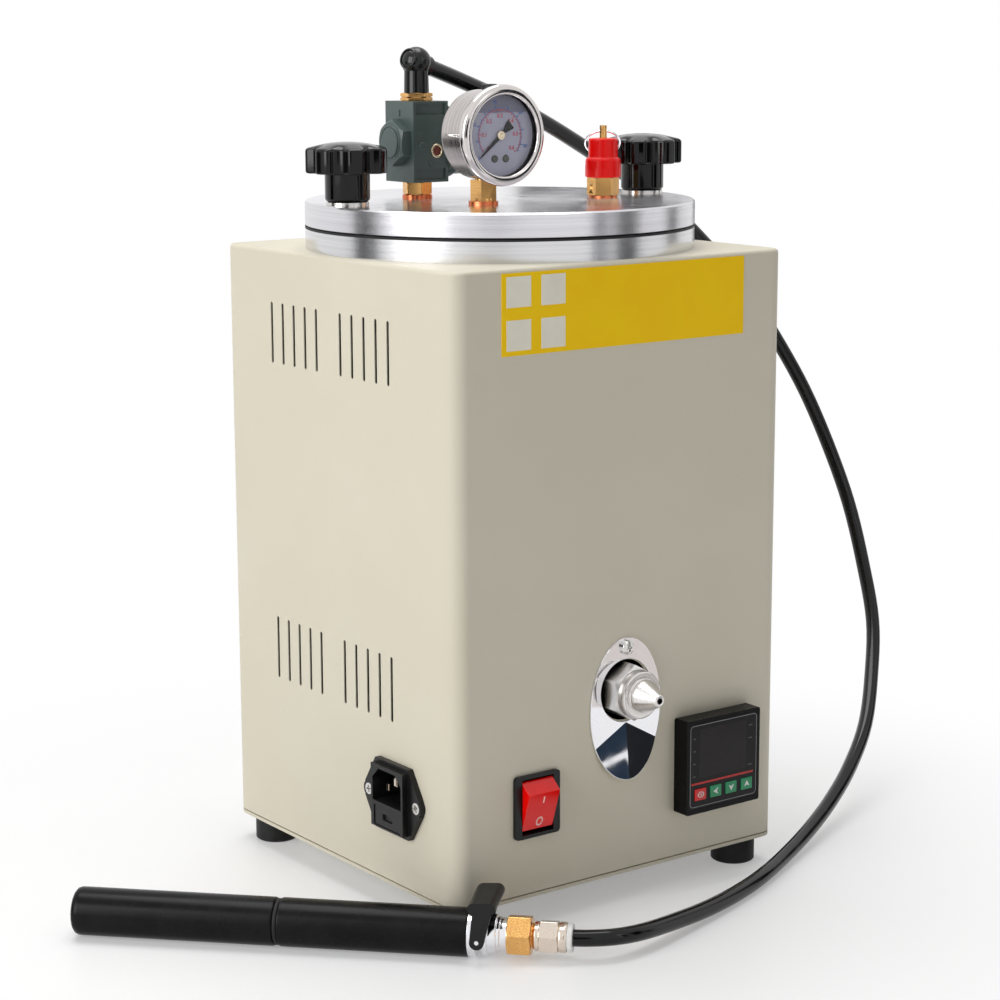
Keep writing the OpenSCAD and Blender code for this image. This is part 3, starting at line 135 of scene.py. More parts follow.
def choose(piece):
    clear_selection()
    piece.select_set(True)
    bpy.context.view_layer.objects.active = piece


def settle(piece):
    """Applies place, turn and modifiers, so that the mesh alone holds the shape."""
    choose(piece)
    for modifier in list(piece.modifiers):
        bpy.ops.object.modifier_apply(modifier=modifier.name)
    bpy.ops.object.transform_apply(location=True, rotation=True, scale=True)


def smooth(piece, angle=30):
    choose(piece)
    bpy.ops.object.shade_smooth_by_angle(angle=math.radians(angle))


def bevel(piece, width, segments=2, angle=30):
    modifier = piece.modifiers.new("bevel", "BEVEL")
    modifier.width = width * MM
    modifier.segments = segments
    modifier.limit_method = "ANGLE"
    modifier.angle_limit = math.radians(angle)
    settle(piece)


def pick(piece, test):
    """Goes into edit mode with the vertices selected whose place passes the test."""
    choose(piece)
    for kind in (piece.data.vertices, piece.data.edges, piece.data.polygons):
        kind.foreach_set("select", [False] * len(kind))
    for vertex in piece.data.vertices:
        vertex.select = test(vertex.co)
    bpy.ops.object.mode_set(mode="EDIT")


def edit_all(piece):
    """Goes into edit mode with the whole piece selected."""
    choose(piece)
    bpy.ops.object.mode_set(mode="EDIT")
    bpy.ops.mesh.select_all(action="SELECT")


def draw_in(piece, test, shares):
    """Scales the vertices that pass the test towards the origin, by a share for each axis."""
    pick(piece, test)
    bpy.ops.transform.resize(value=shares, center_override=(0, 0, 0))
    bpy.ops.object.mode_set(mode="OBJECT")


def seal(piece):
    """Closes seams and poles, and turns every face outwards."""
    edit_all(piece)
    bpy.ops.mesh.remove_doubles(threshold=WELD)
    bpy.ops.mesh.normals_make_consistent(inside=False)
    bpy.ops.object.mode_set(mode="OBJECT")


def stand(piece, origin, axis=(0, 0, 1), turn=0.0):
    """Sets a piece that was made round local Z at its place and along its axis."""
    piece.rotation_mode = "QUATERNION"
    lean = Vector((0, 0, 1)).rotation_difference(Vector(axis))
    piece.rotation_quaternion = lean @ Quaternion((0, 0, 1), math.radians(turn))
    piece.location = origin
    settle(piece)
    return piece


def carve(piece, cutter, operation="DIFFERENCE"):
    modifier = piece.modifiers.new("carve", "BOOLEAN")
    modifier.operation = operation
    modifier.object = cutter
    modifier.solver = "EXACT"
    settle(piece)
    bpy.data.objects.remove(cutter)


def join(pieces, name):
    choose(pieces[0])
    for other in pieces[1:]:
        other.select_set(True)
    bpy.ops.object.join()
    pieces[0].name = name
    return pieces[0]


def dress(piece, body, slot, material, *nodes):
    """Gives a finished piece its finish, its body and the CAD nodes that it stands for."""
    choose(piece)
    bpy.ops.object.modifier_add(type="WEIGHTED_NORMAL")
    piece.modifiers[-1].keep_sharp = True
    bpy.ops.object.modifier_apply(modifier=piece.modifiers[-1].name)
    piece.data.materials.clear()
    piece.data.materials.append(material)
    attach(piece, body)
    note = ""
    if nodes:
        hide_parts(*nodes)
        low = Vector([min(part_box(n)[0][i] for n in nodes) for i in range(3)])
        high = Vector([max(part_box(n)[1][i] for n in nodes) for i in range(3)])
        places = [v.co for v in piece.data.vertices]
        off = max(
            max(abs(min(p[i] for p in places) - low[i]), abs(max(p[i] for p in places) - high[i]))
            for i in range(3)
        )
        note = f"box differs by {off / MM:.2f} mm from {', '.join(nodes)}"
    print(piece.name, len(piece.data.polygons), "faces", note)
    return piece


def fit(piece, origin, axis, *finish):
    """Stands a piece at its place and along its axis, and dresses it."""
    stand(piece, origin, axis)
    return dress(piece, *finish)


print("helpers ready")

# %% [markdown]
# Most pieces here were turned on a lathe, so most are modelled as a lathe works: a ring of vertices is
# extruded along the axis and resized at each station. The stations are (radius, height) in
# millimetres along local Z, and a fillet rounds the corners between them.


# %% Lathe
def soft_corners(stations, radius, steps=3):
    """Replaces each inner corner of a profile by a short curve."""
    points = [Vector(s) for s in stations]
    path = [points[0]]
    for before, corner, after in zip(points, points[1:], points[2:]):
        start = corner + (before - corner).normalized() * min(radius, 0.45 * (before - corner).length)
        end = corner + (after - corner).normalized() * min(radius, 0.45 * (after - corner).length)
        for step in range(steps + 1):
            t = step / steps
            path.append((1 - t) ** 2 * start + 2 * t * (1 - t) * corner + t**2 * end)
    return path + [points[-1]]


def lathe(name, stations, fillet=0.0, sides=64):
    path = soft_corners(stations, fillet) if fillet else [Vector(s) for s in stations]
    clear_selection()
    bpy.ops.mesh.primitive_circle_add(
        vertices=sides, radius=max(path[0].x, PINPOINT) * MM, location=(0, 0, path[0].y * MM)
    )
    piece = bpy.context.object
    piece.name = name
    bpy.ops.object.mode_set(mode="EDIT")
    bpy.ops.mesh.select_all(action="SELECT")
    for here, there in zip(path, path[1:]):
        rise = (there.y - here.y) * MM
        bpy.ops.mesh.extrude_region_move(TRANSFORM_OT_translate={"value": (0, 0, rise)})
        growth = max(there.x, PINPOINT) / max(here.x, PINPOINT)
        bpy.ops.transform.resize(value=(growth, growth, 1), center_override=(0, 0, 0))
    bpy.ops.object.mode_set(mode="OBJECT")
    settle(piece)
    seal(piece)
    smooth(piece, 35)
    return piece


print("lathe ready")

# %% [markdown]
# Nuts and hexagonal bar: a six-sided bar whose ends are turned to a cone, which leaves the curved
# corners that every nut has. The cone-ended blank is a lathe piece, and the bar is cut to it.


# %% Hexagon bar
def hexagon(name, flats, low, high, turn=0.0, cone=0.6):
    """A bar of a width across flats, with its first corner at `turn` degrees round local Z."""
    corner = flats / math.sqrt(3)
    clear_selection()
    bpy.ops.mesh.primitive_cylinder_add(
        vertices=6, radius=corner * MM, depth=(high - low) * MM, location=(0, 0, (low + high) / 2 * MM)
    )
    bar = bpy.context.object
    bar.name = name
    settle(bar)
    first = bar.data.vertices[0].co
    bar.rotation_euler.z = math.radians(turn) - math.atan2(first.y, first.x)
    settle(bar)
    edit_all(bar)
    bpy.ops.mesh.bevel(offset=0.25 * MM, segments=2)
    bpy.ops.object.mode_set(mode="OBJECT")
    drop = (corner - flats / 2 + 0.5) * cone
    blank_bar = lathe(
        "blank",
        [
            (0, low), (flats / 2 - 0.2, low), (corner + 0.3, low + drop), (corner + 0.3, high - drop),
            (flats / 2 - 0.2, high), (0, high),
        ],
        sides=72,
    )
    carve(bar, blank_bar, "INTERSECT")
    smooth(bar, 30)
    return bar


print("hexagon ready")

# %% [markdown]
# A CAD node with the right shape but razor edges is copied, its loose triangles are merged and the
# flat ones dissolved, and its edges are bevelled, because no moulding or casting has a razor edge.


# %% Softened copies and small blocks
def softened(node, name, width, segments=2, angle=35):
    clear_selection()
    piece = bpy.data.objects.new(name, CAD[node].data.copy())
    bpy.context.collection.objects.link(piece)
    choose(piece)
    bpy.ops.mesh.customdata_custom_splitnormals_clear()
    edit_all(piece)
    bpy.ops.mesh.remove_doubles(threshold=0.002 * MM)
    bpy.ops.mesh.dissolve_limited(angle_limit=math.radians(1.5))
    bpy.ops.object.mode_set(mode="OBJECT")
    bevel(piece, width, segments, angle)
    smooth(piece, 30)
    return piece


def block(name, place, extent, edge=0.0, segments=2):
    """A box with rounded edges, from its middle and its extent in millimetres."""
    clear_selection()
    bpy.ops.mesh.primitive_cube_add(size=1, location=Vector(place) * MM)
    piece = bpy.context.object
    piece.name = name
    piece.scale = Vector(extent) * MM
    settle(piece)
    if edge:
        bevel(piece, edge, segments)
        smooth(piece, 30)
    return piece


print("softened copies ready")

# %% [markdown]
# ## The studio
# The photograph has a white sweep with only a soft shadow on it. The floor is an ordinary pale floor
# near the object, so it takes the shadow, and fades into plain white further out. The world is plain
# white too where the camera, metal or glass looks at it, and a weaker glow for everything else.

# %% Floor
FLOOR_SIDE = 12.0
FLOOR_NEAR = 0.14
FLOOR_FAR = 0.48
WHITE_NEAR = 0.3
bpy.ops.mesh.primitive_plane_add(size=FLOOR_SIDE, location=(0, 0, 0))
floor = bpy.context.object
floor.name = "studio_floor"

floor_paint = bpy.data.materials.new("studio_floor_paint")
floor_paint.use_nodes = True
tree = floor_paint.node_tree
floor_shader = tree.nodes["Principled BSDF"]
floor_shader.inputs["Base Color"].default_value = (0.93, 0.93, 0.93, 1)
floor_shader.inputs["Roughness"].default_value = 0.4
floor_shader.inputs["Specular IOR Level"].default_value = 0.3


def rays_that_look(tree):
    """1 for camera, glossy and transmission rays, and 0 for the rays that carry light."""
    path = tree.nodes.new("ShaderNodeLightPath")
    first = tree.nodes.new("ShaderNodeMath")
    first.operation = "MAXIMUM"
    second = tree.nodes.new("ShaderNodeMath")
    second.operation = "MAXIMUM"
    tree.links.new(path.outputs["Is Camera Ray"], first.inputs[0])
    tree.links.new(path.outputs["Is Glossy Ray"], first.inputs[1])
    tree.links.new(first.outputs[0], second.inputs[0])
    tree.links.new(path.outputs["Is Transmission Ray"], second.inputs[1])
    return second.outputs[0]


ground = tree.nodes.new("ShaderNodeTexCoord")
distance = tree.nodes.new("ShaderNodeVectorMath")
distance.operation = "LENGTH"
tree.links.new(ground.outputs["Object"], distance.inputs[0])
fade = tree.nodes.new("ShaderNodeMapRange")
fade.interpolation_type = "SMOOTHSTEP"
fade.inputs["From Min"].default_value = FLOOR_NEAR
fade.inputs["From Max"].default_value = FLOOR_FAR
fade.inputs["To Min"].default_value = WHITE_NEAR
fade.inputs["To Max"].default_value = 1.0
tree.links.new(distance.outputs["Value"], fade.inputs["Value"])
share = tree.nodes.new("ShaderNodeMath")
share.operation = "MULTIPLY"
tree.links.new(fade.outputs[0], share.inputs[0])
tree.links.new(rays_that_look(tree), share.inputs[1])
plain_white = tree.nodes.new("ShaderNodeEmission")
plain_white.inputs["Color"].default_value = (1, 1, 1, 1)
plain_white.inputs["Strength"].default_value = 1.0
sweep = tree.nodes.new("ShaderNodeMixShader")
tree.links.new(share.outputs[0], sweep.inputs["Fac"])
tree.links.new(floor_shader.outputs[0], sweep.inputs[1])
tree.links.new(plain_white.outputs[0], sweep.inputs[2])
tree.links.new(sweep.outputs[0], tree.nodes["Material Output"].inputs["Surface"])
floor.data.materials.append(floor_paint)
print("floor fades to white between", FLOOR_NEAR, "and", FLOOR_FAR, "m")

# %% [markdown]
# The world is what metal and glass mirror. Rays that look see plain white, and the rays that light
# the object get a weaker and slightly cool glow.

# %% World
WORLD_GLOW = 0.235
world = bpy.data.worlds.new("white_studio")
bpy.context.scene.world = world
world.use_nodes = True
tree = world.node_tree
tree.nodes.clear()
white = tree.nodes.new("ShaderNodeBackground")
white.inputs["Color"].default_value = (1, 1, 1, 1)
white.inputs["Strength"].default_value = 1.0
glow = tree.nodes.new("ShaderNodeBackground")
glow.inputs["Color"].default_value = (0.96, 0.97, 1, 1)
glow.inputs["Strength"].default_value = WORLD_GLOW
blend_worlds = tree.nodes.new("ShaderNodeMixShader")
tree.links.new(rays_that_look(tree), blend_worlds.inputs["Fac"])
tree.links.new(glow.outputs[0], blend_worlds.inputs[1])
tree.links.new(white.outputs[0], blend_worlds.inputs[2])
world_out = tree.nodes.new("ShaderNodeOutputWorld")
tree.links.new(blend_worlds.outputs[0], world_out.inputs["Surface"])
print("world glow", WORLD_GLOW)

# %% [markdown]
# The case's left side is the bright one in the photograph and its front is half as bright, so the
# large soft lamp stands on the left. The black knobs show two bright upright stripes: one is this
# lamp, the other a tall narrow lamp at the front right.

# %% Lamps
OBJECT_MIDDLE = Vector((0.04, 0.02, 0.2))
LAMPS = (
    ("left_softbox", (-1.9, -0.2, 0.9), 1.1, 1.5, 24),
    ("front_strip", (0.75, -1.9, 0.8), 0.35, 1.4, 2),
    ("top_softbox", (0.1, 0.3, 2.0), 1.5, 1.2, 26),
)
for name, place, width, height, watts in LAMPS:
    bpy.ops.object.light_add(type="AREA", location=place)
    lamp = bpy.context.object
    lamp.name = name
    lamp.data.shape = "RECTANGLE"
    lamp.data.size = width
    lamp.data.size_y = height
    lamp.data.energy = watts
    lamp.rotation_euler = (OBJECT_MIDDLE - Vector(place)).to_track_quat("-Z", "Y").to_euler()

# %% [markdown]
# Polished metal looks polished only when it has something dark to mirror. Dark cards stand round the
# object, as in a studio, and four small ones stand near the drip plate, one of them warm grey, so that
# each flat of it mirrors another tone. Only reflections see them: they cast no shadow and the camera
# looks through.


# %% Mirror cards
def mirror_card(name, bearing, distance, width, low, high, colour, centre=(0.0, 0.0), roll=0.0):
    """A card that faces a centre; bearing is in degrees from +X, anticlockwise from above."""
    angle = math.radians(bearing)
    middle_z = (low + high) / 2
    place = (centre[0] + distance * math.cos(angle), centre[1] + distance * math.sin(angle), middle_z)
    bpy.ops.mesh.primitive_plane_add(size=1, location=place)
    card = bpy.context.object
    card.name = name
    card.scale = (width, high - low, 1)
    card.rotation_euler = (math.radians(90), math.radians(roll), angle - math.radians(90))
    paint_of_card = bpy.data.materials.new(name + "_paint")
    paint_of_card.use_nodes = True
    card_shader = paint_of_card.node_tree.nodes["Principled BSDF"]
    card_shader.inputs["Base Color"].default_value = colour
    card_shader.inputs["Roughness"].default_value = 0.8
    card_shader.inputs["Specular IOR Level"].default_value = 0.1
    card.data.materials.append(paint_of_card)
    card.visible_camera = False
    card.visible_diffuse = False
    card.visible_shadow = False
    card.visible_transmission = False
    return card


INK = (0.012, 0.013, 0.016, 1)
NIGHT_BLUE = (0.02, 0.035, 0.06, 1)
WARM_GREY = (0.8, 0.74, 0.7, 1)
PLATE = (middle("drip_plate").x, FRONT_Y)
CARDS = (
    ("card_front_right", -47, 1.25, 0.34, 0.0, 0.7, INK),
    ("card_front_left", -66, 1.3, 0.2, 0.0, 0.6, NIGHT_BLUE),
    ("card_behind_camera", -128, 2.6, 0.9, 0.2, 1.5, INK),
    ("card_back_left", 150, 1.5, 0.5, 0.0, 0.45, INK),
    ("card_back_right", 40, 1.5, 0.6, 0.0, 0.5, INK),
    ("card_right", -8, 1.4, 0.25, 0.0, 0.6, INK),
    ("card_low_right", -43.6, 0.34, 0.035, 0.001, 0.1, INK, PLATE),
    ("card_left_upper", -61.0, 0.33, 0.04, 0.0365, 0.1, NIGHT_BLUE, PLATE, 20),
    ("card_left_lower", -61.0, 0.33, 0.03, 0.001, 0.0295, NIGHT_BLUE, PLATE, 20),
    ("card_for_flat", -50.6, 0.345, 0.045, 0.001, 0.07, WARM_GREY, PLATE),
)
for card in CARDS:
    mirror_card(*card)

# %% [markdown]
# ## The air hose
# A stiff 8 mm tube springs from the elbow on the regulator, arches to the right and comes down to the floor,
# where it runs in front of the case to the pump. It is one swept tube along the points of the CAD route.

# %% Route of the hose
HOSE_D = 8 * MM
ROUTE_CORNER = Vector((LEFT_X, FRONT_Y, 0))
LEAD = 0.02
ROUTE_POINTS = [
    (105, 138, 394), (138, 145, 383), (171, 152, 370), (203, 157, 355), (235, 161, 339),
    (266, 163, 320), (294, 164, 298), (320, 162, 273), (341, 158, 244), (358, 151, 213),
    (368, 140, 180), (372, 126, 147), (369, 110, 114), (359, 91, 85), (341, 73, 60),
    (318, 54, 39), (290, 37, 24), (260, 21, 14), (228, 5, 7.6), (196, -11, 4.8),
    (168, -25, 4.3), (146, -34, 4.3), (126, -41, 4.8), (108, -46.5, 5.7), (92, -51, 7),
    (78, -55, 8.4), (66, -58, 9.7), (56, -59, 10.6), (47, -58, 11.2), (39, -54.5, 11.4),
]
ELBOW_BALL = Vector(
    (middle("brass_nipples").x, middle("regulator_body").y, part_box("hose_elbow")[1].z - 7.4 * MM)
)
ELBOW_AIM = Vector((0.938, 0.202, -0.282)).normalized()
PUMP_AIM = Vector((math.cos(math.radians(-45.6)), math.sin(math.radians(-45.6)), 0))
PUMP_START = Vector((LEFT_X - 136.68 * MM, FRONT_Y + 123.03 * MM, 11.4 * MM))
ELBOW_REACH = 8.3 * MM
PUMP_REACH = 240.1 * MM
hose_top = ELBOW_BALL + ELBOW_REACH * ELBOW_AIM
hose_end = PUMP_START + PUMP_REACH * PUMP_AIM
STEPS_BETWEEN = 5


def spline_point(a, b, c, d, t):
    """A point on the smooth line between b and c."""
    return 0.5 * (
        2 * b + (c - a) * t + (2 * a - 5 * b + 4 * c - d) * t**2 + (3 * b - a - 3 * c + d) * t**3
    )


route = [ROUTE_CORNER + Vector(p) * MM for p in ROUTE_POINTS]
route = [hose_top - LEAD * ELBOW_AIM, hose_top] + route + [hose_end, hose_end - LEAD * PUMP_AIM]
hose_path = [
    spline_point(*route[i - 1 : i + 3], step / STEPS_BETWEEN)
    for i in range(1, len(route) - 2)
    for step in range(STEPS_BETWEEN)
] + [route[-2]]
hose_length = sum((b - a).length for a, b in zip(hose_path, hose_path[1:]))
print("hose length", round(hose_length, 4), "m in", len(hose_path), "points")

# %% [markdown]
# A curve with a round bevel is the quickest true tube. It is turned into a mesh.


# %% Tube of the hose
def tube(name, path, radius, sides=16):
    curve = bpy.data.curves.new(name, "CURVE")
    curve.dimensions = "3D"
    curve.bevel_depth = radius
    curve.bevel_resolution = (sides - 4) // 4
    curve.use_fill_caps = True
    spline = curve.splines.new("POLY")
    spline.points.add(len(path) - 1)
    for point, place in zip(spline.points, path):
        point.co = (*place, 1)
    piece = bpy.data.objects.new(name, curve)
    bpy.context.collection.objects.link(piece)
    choose(piece)
    bpy.ops.object.convert(target="MESH")
    return bpy.context.object


hose = tube("air_hose_tube", hose_path, HOSE_D / 2)
smooth(hose, 40)
print("hose tube", len(hose.data.polygons), "faces")

# %% [markdown]
# ## Node groups: the marks that real surfaces share
# A finish looks real through small marks: the orange-peel of baked powder, the rings that a lathe
# leaves, brush lines, worn corners and the haze of handling. Each is a node group that many
# materials share. A group only puts out values, colours and normals, and the shader stays outside.


# %% Node helpers
def group_tree(name, inputs, outputs):
    """A shader node group with named sockets; returns it with its two end nodes."""
    tree = bpy.data.node_groups.new(name, "ShaderNodeTree")
    for label, kind, value in inputs:
        socket = tree.interface.new_socket(label, in_out="INPUT", socket_type=kind)
        if value is not None:
            socket.default_value = value
    for label, kind in outputs:
        tree.interface.new_socket(label, in_out="OUTPUT", socket_type=kind)
    return tree, tree.nodes.new("NodeGroupInput"), tree.nodes.new("NodeGroupOutput")


def add_node(tree, kind, inputs=None, **settings):
    made = tree.nodes.new(kind)
    for key, value in settings.items():
        setattr(made, key, value)
    for key, value in (inputs or {}).items():
        if isinstance(value, bpy.types.NodeSocket):
            tree.links.new(value, made.inputs[key])
        else:
            made.inputs[key].default_value = value
    return made


def remap(tree, value, low, high, from_low=0.0, from_high=1.0):
    """Stretches a value from one span to another and clamps it."""
    spans = {1: from_low, 2: from_high, 3: low, 4: high}
    return add_node(tree, "ShaderNodeMapRange", {0: value, **spans}).outputs[0]


VALUE = "NodeSocketFloat"
VECTOR = "NodeSocketVector"

# %% [markdown]
# Powder coat: the powder melts into a skin with a fine pebbled surface. Two noises at different
# sizes give the pebbles, and a third, very broad one makes the colour drift a little.

# %% Powder grain
powder_grain, start, end = group_tree(
    "powder_grain",
    [("Vector", VECTOR, None), ("Scale", VALUE, 1400.0), ("Strength", VALUE, 0.25)],
    [("Normal", VECTOR), ("Drift", VALUE), ("Pits", VALUE)],
)
pebbles = add_node(
    powder_grain,
    "ShaderNodeTexNoise",
    {"Vector": start.outputs["Vector"], "Scale": start.outputs["Scale"], "Detail": 2.0},
)
bump = add_node(
    powder_grain,
    "ShaderNodeBump",
    {"Strength": start.outputs["Strength"], "Distance": 0.0004, "Height": pebbles.outputs[0]},
)
drift = add_node(
    powder_grain, "ShaderNodeTexNoise", {"Vector": start.outputs["Vector"], "Scale": 14.0, "Detail": 3.0}
)
powder_grain.links.new(bump.outputs[0], end.inputs["Normal"])
powder_grain.links.new(remap(powder_grain, drift.outputs[0], 0, 1, 0.35, 0.65), end.inputs["Drift"])
powder_grain.links.new(remap(powder_grain, pebbles.outputs[0], 0, 1, 0.3, 0.7), end.inputs["Pits"])
print("powder_grain", len(powder_grain.nodes), "nodes")

# %% [markdown]
# The case is coated on its outside only, and its slots carry painted shade: below the skin, the cut edges of
# the vents and the inside are painted near-black, so the slots read as black lines. Depth below the skin is
# the distance to a rounded box: the part of the place that lies beyond the straight core, as a length, set
# against the bend radius.

# %% Depth below the skin of the case
CASE_BEND = 8 * MM
SKIN = 0.35 * MM
# No shade is painted near the top and bottom of the case.
UNSHADED_ENDS = 10 * MM
below_skin, start, end = group_tree("below_skin", [("Vector", VECTOR, None)], [("Inside", VALUE)])
from_centre = add_node(
    below_skin,
    "ShaderNodeVectorMath",
    {0: start.outputs["Vector"], 1: tuple(middle("case_shell"))},
    operation="SUBTRACT",
)
mirrored = add_node(below_skin, "ShaderNodeVectorMath", {0: from_centre.outputs[0]}, operation="ABSOLUTE")
half = (CASE_HIGH - CASE_LOW) / 2
core = (half.x - CASE_BEND, half.y - CASE_BEND, 1.0)
beyond = add_node(
    below_skin, "ShaderNodeVectorMath", {0: mirrored.outputs[0], 1: core}, operation="SUBTRACT"
)
kept = add_node(
    below_skin, "ShaderNodeVectorMath", {0: beyond.outputs[0], 1: (0.0, 0.0, 0.0)}, operation="MAXIMUM"
)
reach = add_node(below_skin, "ShaderNodeVectorMath", {0: kept.outputs[0]}, operation="LENGTH")
deep = remap(below_skin, reach.outputs["Value"], 1.0, 0.0, CASE_BEND - 2 * SKIN, CASE_BEND - SKIN)
upright = add_node(below_skin, "ShaderNodeSeparateXYZ", {0: mirrored.outputs[0]})
walls = remap(below_skin, upright.outputs[2], 1.0, 0.0, half.z - UNSHADED_ENDS, half.z - UNSHADED_ENDS + MM)
both = add_node(below_skin, "ShaderNodeMath", {0: deep, 1: walls}, operation="MULTIPLY")
below_skin.links.new(both.outputs[0], end.inputs["Inside"])
print("coat is skin deep:", SKIN / MM, "mm")

# %% [markdown]
# Turned metal: a lathe tool leaves rings. Seen in the plane of radius and height they are straight
# bands, so the noise reads (radius, height) and gives rings on faces and hoops on round walls.

# %% Turned rings
turned_rings, start, end = group_tree(
    "turned_rings",
    [("Vector", VECTOR, None), ("Scale", VALUE, 900.0), ("Strength", VALUE, 0.15)],
    [("Normal", VECTOR), ("Band", VALUE)],
)
parts = add_node(turned_rings, "ShaderNodeSeparateXYZ", {0: start.outputs["Vector"]})
flat = add_node(turned_rings, "ShaderNodeCombineXYZ", {0: parts.outputs[0], 1: parts.outputs[1]})
radius = add_node(turned_rings, "ShaderNodeVectorMath", {0: flat.outputs[0]}, operation="LENGTH")
plane = add_node(turned_rings, "ShaderNodeCombineXYZ", {0: radius.outputs["Value"], 1: parts.outputs[2]})
bands = add_node(
    turned_rings,
    "ShaderNodeTexNoise",
    {"Vector": plane.outputs[0], "Scale": start.outputs["Scale"], "Detail": 4.0, "Roughness": 0.65},
    noise_dimensions="2D",
)
bump = add_node(
    turned_rings,
    "ShaderNodeBump",
    {"Strength": start.outputs["Strength"], "Distance": 0.0003, "Height": bands.outputs[0]},
)
turned_rings.links.new(bump.outputs[0], end.inputs["Normal"])
turned_rings.links.new(remap(turned_rings, bands.outputs[0], 0, 1, 0.3, 0.7), end.inputs["Band"])
print("turned_rings", len(turned_rings.nodes), "nodes")

# %% [markdown]
# Brushed or drawn metal: noise that is squeezed across one direction and long in the other.

# %% Brush lines
brush_lines, start, end = group_tree(
    "brush_lines",
    [
        ("Vector", VECTOR, None),
        ("Across", VECTOR, (2500.0, 60.0, 2500.0)),
        ("Strength", VALUE, 0.12),
    ],
    [("Normal", VECTOR), ("Line", VALUE)],
)
squeezed = add_node(
    brush_lines,
    "ShaderNodeVectorMath",
    {0: start.outputs["Vector"], 1: start.outputs["Across"]},
    operation="MULTIPLY",
)
lines = add_node(
    brush_lines, "ShaderNodeTexNoise", {"Vector": squeezed.outputs[0], "Scale": 1.0, "Detail": 3.0}
)
bump = add_node(
    brush_lines,
    "ShaderNodeBump",
    {"Strength": start.outputs["Strength"], "Distance": 0.0002, "Height": lines.outputs[0]},
)
brush_lines.links.new(bump.outputs[0], end.inputs["Normal"])
brush_lines.links.new(remap(brush_lines, lines.outputs[0], 0, 1, 0.3, 0.7), end.inputs["Line"])
print("brush_lines", len(brush_lines.nodes), "nodes")

# %% [markdown]
# Handling leaves a haze on gloss: patches where the shine is broken, with finer streaks inside them.

# %% Handling haze
handling_haze, start, end = group_tree(
    "handling_haze",
    [
        ("Vector", VECTOR, None), ("Scale", VALUE, 40.0), ("Clean", VALUE, 0.1), ("Hazy", VALUE, 0.3),
    ],
    [("Roughness", VALUE), ("Haze", VALUE)],
)
patches = add_node(
    handling_haze,
    "ShaderNodeTexNoise",
    {
        "Vector": start.outputs["Vector"],
        "Scale": start.outputs["Scale"],
        "Detail": 6.0,
        "Roughness": 0.6,
        "Distortion": 0.6,
    },
)
haze = remap(handling_haze, patches.outputs[0], 0, 1, 0.42, 0.72)
spread = add_node(
    handling_haze,
    "ShaderNodeMapRange",
    {0: haze, 3: start.outputs["Clean"], 4: start.outputs["Hazy"]},
)
handling_haze.links.new(spread.outputs[0], end.inputs["Roughness"])
handling_haze.links.new(haze, end.inputs["Haze"])
print("handling_haze", len(handling_haze.nodes), "nodes")

# %% [markdown]
# Corners wear first, and on metal they also carry a painted highlight. A Bevel node looks round each corner;
# where its normal leaves the face's own, there is an edge. A noise breaks the edge up, so the wear and the
# painted highlight come and go along it.

# %% Worn edges and painted edge highlights
edge_wear_and_highlight, start, end = group_tree(
    "edge_wear_and_highlight",
    [("Vector", VECTOR, None), ("Radius", VALUE, 0.0004), ("Amount", VALUE, 0.5)],
    [("Edge", VALUE)],
)
rounded = add_node(edge_wear_and_highlight, "ShaderNodeBevel", {"Radius": start.outputs["Radius"]}, samples=4)
facing = add_node(edge_wear_and_highlight, "ShaderNodeNewGeometry")
likeness = add_node(
    edge_wear_and_highlight,
    "ShaderNodeVectorMath",
    {0: rounded.outputs[0], 1: facing.outputs["Normal"]},
    operation="DOT_PRODUCT",
)
edge = remap(edge_wear_and_highlight, likeness.outputs["Value"], 1, 0, 0.8, 0.98)
breaks = add_node(
    edge_wear_and_highlight, "ShaderNodeTexNoise", {"Vector": start.outputs["Vector"], "Scale": 260.0, "Detail": 3.0}
)
broken = remap(edge_wear_and_highlight, breaks.outputs[0], 0, 1, 0.4, 0.62)
worn = add_node(edge_wear_and_highlight, "ShaderNodeMath", {0: edge, 1: broken}, operation="MULTIPLY")
scaled = add_node(
    edge_wear_and_highlight, "ShaderNodeMath", {0: worn.outputs[0], 1: start.outputs["Amount"]}, operation="MULTIPLY"
)
edge_wear_and_highlight.links.new(scaled.outputs[0], end.inputs["Edge"])
print("node groups", [g.name for g in bpy.data.node_groups])

# %% [markdown]
# ## Finishes
# Each finish starts from the Principled shader. What is the same all over a surface is set on the
# shader's own socket, and only what changes over the surface comes through nodes.


# %% Finish helpers
def paint(code):
    """A colour written as on screen, turned into the linear numbers that a shader wants."""
    parts = [int(code[i : i + 2], 16) / 255 for i in (1, 3, 5)]
    return tuple(p / 12.92 if p <= 0.04045 else ((p + 0.055) / 1.055) ** 2.4 for p in parts) + (1.0,)


def blank(name, **sockets):
    """A new finish; returns it with its tree, its shader and its Object coordinates."""
    material = bpy.data.materials.new(name)
    material.use_nodes = True
    tree = material.node_tree
    shader = tree.nodes["Principled BSDF"]
    for label, value in sockets.items():
        shader.inputs[label.replace("_", " ")].default_value = value
    coordinates = add_node(tree, "ShaderNodeTexCoord")
    return material, tree, shader, coordinates.outputs["Object"]


def effect(tree, group, **inputs):
    placed = tree.nodes.new("ShaderNodeGroup")
    placed.node_tree = group
    for label, value in inputs.items():
        if isinstance(value, bpy.types.NodeSocket):
            tree.links.new(value, placed.inputs[label])
        else:
            placed.inputs[label].default_value = value
    return placed.outputs


def mix(tree, mask, first, second):
    """Blends two colours by a mask: 0 shows the first and 1 the second."""
    mixed = add_node(tree, "ShaderNodeMix", data_type="RGBA")
    tree.links.new(mask, mixed.inputs[0])
    for index, colour in ((6, first), (7, second)):
        if isinstance(colour, bpy.types.NodeSocket):
            tree.links.new(colour, mixed.inputs[index])
        else:
            mixed.inputs[index].default_value = colour
    return mixed.outputs[2]


